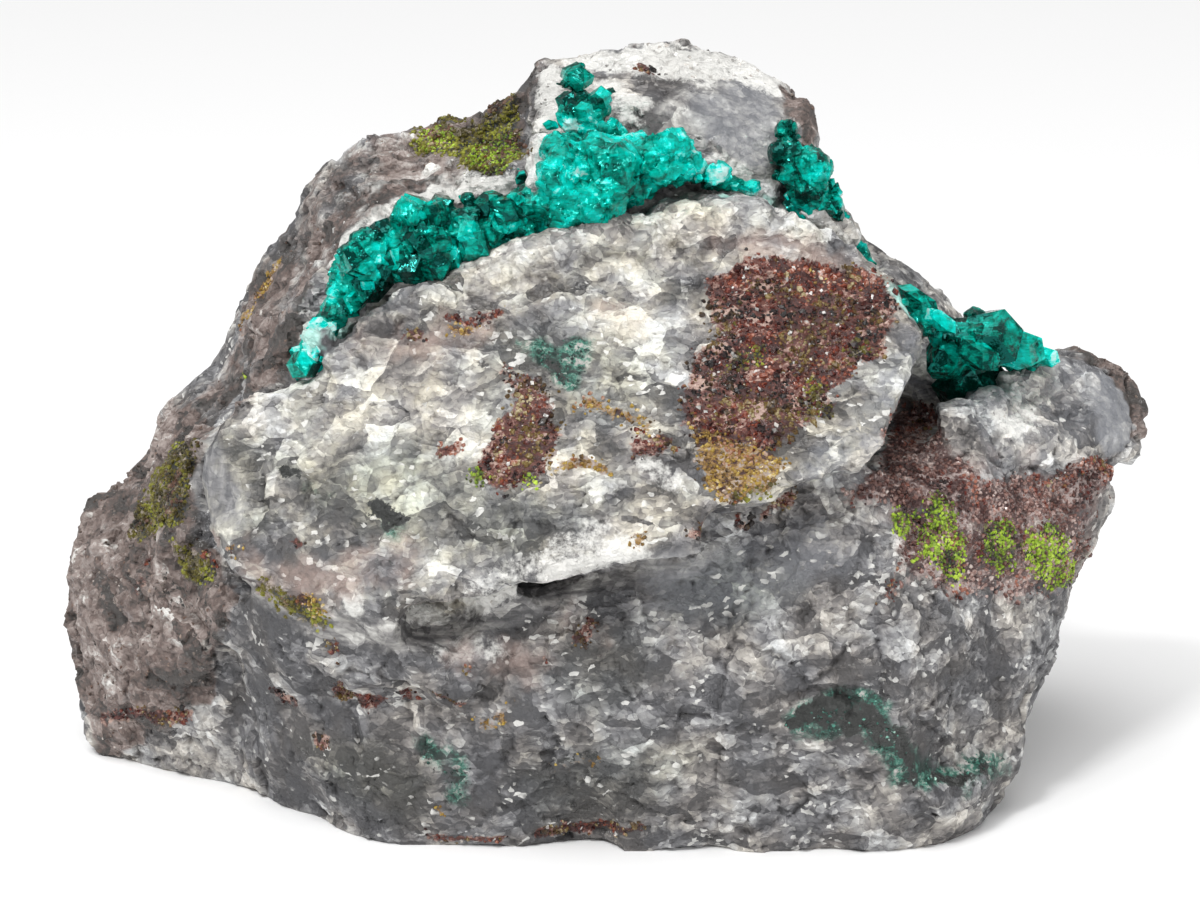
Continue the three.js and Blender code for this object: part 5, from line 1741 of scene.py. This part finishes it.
OCHRE = GrainFinish("ochre_grains", ((0.1, (0.04, 0.022, 0.01)), (0.4, (0.20, 0.11, 0.02)),
                                     (0.75, (0.42, 0.29, 0.05)), (1.0, (0.70, 0.62, 0.50))),
                    ((0.1, (0.05, 0.018, 0.012)), (0.5, (0.26, 0.09, 0.03)), (1.0, (0.5, 0.42, 0.36))), 0.35, 0.5)
MOSSY = GrainFinish("lime_grains", ((0.05, (0.015, 0.020, 0.005)), (0.25, (0.09, 0.14, 0.010)),
                                    (0.55, (0.26, 0.40, 0.020)), (0.95, (0.48, 0.64, 0.07))),
                    ((0.1, (0.012, 0.010, 0.006)), (0.5, (0.08, 0.06, 0.018)), (0.8, (0.20, 0.18, 0.035)),
                     (1.0, (0.40, 0.36, 0.18))), 0.18, 0.6)
OLIVE = GrainFinish("olive_grains", ((0.05, (0.015, 0.010, 0.005)), (0.3, (0.07, 0.055, 0.010)),
                                     (0.6, (0.13, 0.115, 0.010)), (0.95, (0.27, 0.29, 0.03))),
                    ((0.1, (0.02, 0.012, 0.01)), (0.5, (0.11, 0.05, 0.03)), (1.0, (0.32, 0.25, 0.18))), 0.35, 0.6)
COPPER = GrainFinish("malachite_grains", ((0.1, (0.01, 0.015, 0.013)), (0.4, (0.02, 0.07, 0.055)),
                                          (0.7, (0.09, 0.30, 0.23)), (1.0, (0.40, 0.62, 0.52))),
                     ((0.1, (0.01, 0.012, 0.012)), (0.7, (0.03, 0.06, 0.05)), (1.0, (0.4, 0.5, 0.46))), 0.45, 0.4)
WEATHER = GrainFinish("weathered_grains", ((0.1, (0.012, 0.011, 0.010)), (0.35, (0.075, 0.06, 0.05)),
                                           (0.65, (0.21, 0.17, 0.145)), (0.95, (0.55, 0.50, 0.46))),
                      ((0.1, (0.02, 0.013, 0.01)), (0.5, (0.13, 0.075, 0.055)), (1.0, (0.36, 0.28, 0.23))), 0.4, 0.5)
SUGAR = GrainFinish("sugary_calcite_grains", ((0.1, (0.22, 0.21, 0.20)), (0.5, (0.45, 0.44, 0.42)),
                                              (0.95, (0.86, 0.85, 0.82))),
                    ((0.1, (0.30, 0.26, 0.24)), (1.0, (0.80, 0.76, 0.70))), 0.3, 0.25)

CRUSTS = (
    Grains("rusty_crust", Stain.RUST.value, Shape.NUGGET, RUSTY, 9.0, 0.09, 0.24, seed=21, least=0.38, most=0.62),
    Grains("rusty_nuggets", Stain.RUST.value, Shape.NUGGET, RUSTY, 1.6, 0.24, 0.48, seed=32, least=0.42, most=0.8,
           sunk=0.15),
    Grains("quartz_grains_in_the_rust", Stain.RUST.value, Shape.RHOMB, SUGAR, 0.45, 0.10, 0.26, seed=31, least=0.35,
           most=0.8),
    Grains("purplish_crust", Stain.PURPLE.value, Shape.NUGGET, PURPLISH, 8.0, 0.10, 0.28, seed=33, least=0.38,
           most=0.7),
    Grains("ochre_crust", Stain.OCHRE.value, Shape.NUGGET, OCHRE, 10.0, 0.09, 0.26, seed=22, least=0.42, most=0.65),
    Grains("lime_crust", Stain.LIME.value, Shape.NUGGET, MOSSY, 18.0, 0.08, 0.24, seed=23, least=0.42, most=0.6),
    Grains("olive_crust", Stain.OLIVE.value, Shape.NUGGET, OLIVE, 13.0, 0.09, 0.28, seed=34, least=0.38, most=0.6),
    Grains("malachite_crust", Stain.MALACHITE.value, Shape.NUGGET, COPPER, 4.0, 0.08, 0.2, seed=24,
           least=0.55, most=1.0),
    Grains("weathered_crust", Stain.WEATHERED.value, Shape.NUGGET, WEATHER, 1.6, 0.08, 0.22, seed=25,
           least=0.5, most=1.1, sunk=0.08),
    Grains("white_rim_grains", Stain.WHITE.value, Shape.RHOMB, SUGAR, 1.0, 0.10, 0.26, seed=26,
           least=0.5, most=1.0, sunk=0.08),
)


@dataclass(frozen=True)
class SoftLight:
    """A square soft light that looks at the specimen."""

    name: str
    place: tuple[float, float, float]
    size: float
    power: float
    colour: Colour = (1.0, 1.0, 1.0)

    def build(self) -> None:
        """Puts the light in the scene."""
        data = bpy.data.lights.new(self.name, "AREA")
        data.shape, data.size, data.energy, data.color = "SQUARE", self.size, self.power, self.colour
        light = link(bpy.data.objects.new(self.name, data))
        light.location = self.place
        light.rotation_euler = (Vector((0, 0, 0.03)) - light.location).to_track_quat("-Z", "Y").to_euler()


@dataclass(frozen=True)
class Studio:
    """The pale floor, the even surroundings and the soft lights."""

    floor_half: float = 4.0
    floor_colour: Colour = (0.93, 0.93, 0.93)
    surroundings: float = 0.40
    sky_strength: float = 1.9
    sky_width: float = math.radians(55)
    sky_from: tuple[float, float, float] = (-0.25, -0.30, 1.0)
    lights: tuple[SoftLight, ...] = (
        SoftLight("key_light", (-0.20, -0.34, 0.50), 0.10, 1.6),
        SoftLight("fill_light", (0.40, -0.50, 0.30), 0.16, 1.0),
    )

    def build(self) -> None:
        """Builds all of it."""
        world = bpy.data.worlds.new("studio")
        world.use_nodes = True
        world.node_tree.nodes["Background"].inputs["Strength"].default_value = self.surroundings
        world.node_tree.nodes["Background"].inputs["Color"].default_value = (1, 1, 1, 1)
        bpy.context.scene.world = world
        sky = bpy.data.lights.new("overhead_light", "SUN")
        sky.energy, sky.angle = self.sky_strength, self.sky_width
        overhead = link(bpy.data.objects.new("overhead_light", sky))
        overhead.rotation_euler = Vector(self.sky_from).to_track_quat("Z", "Y").to_euler()
        mesh = bpy.data.meshes.new("floor")
        half = self.floor_half
        mesh.from_pydata([(-half, -half, 0), (half, -half, 0), (half, half, 0), (-half, half, 0)], [], [(0, 1, 2, 3)])
        material, graph, shader, where = new_material("pale_floor")
        shade = graph.mix(graph.noise(where, 0.3), self.floor_colour, tuple(c * 0.985 for c in self.floor_colour))
        graph.tree.links.new(shade, shader.inputs["Base Color"])
        shader.inputs["Roughness"].default_value = 0.9
        mesh.materials.append(material)
        link(bpy.data.objects.new("floor", mesh))
        for light in self.lights:
            light.build()
        bpy.context.scene.view_settings.view_transform = "Standard"


def main() -> None:
    """Builds the camera, the studio and every piece, in order."""
    logging.basicConfig(level=logging.INFO, format="%(name)s: %(message)s")
    camera = PhotoCamera()
    camera.build()
    Studio().build()
    seams = (MAIN_SEAM, RIGHT_SEAM, RIGHT_CLUSTER)
    surface = Surface(camera, ("calcite_matrix", *(seam.node for seam in seams)))
    stone = Stone(surface).build()
    shapes = Shapes()
    for crust in CRUSTS:
        crust.build(stone, shapes)
    dioptase = DioptaseFinish().build()
    for seam in seams:
        seam.build(surface, shapes, dioptase)


if __name__ == "__main__":
    main()
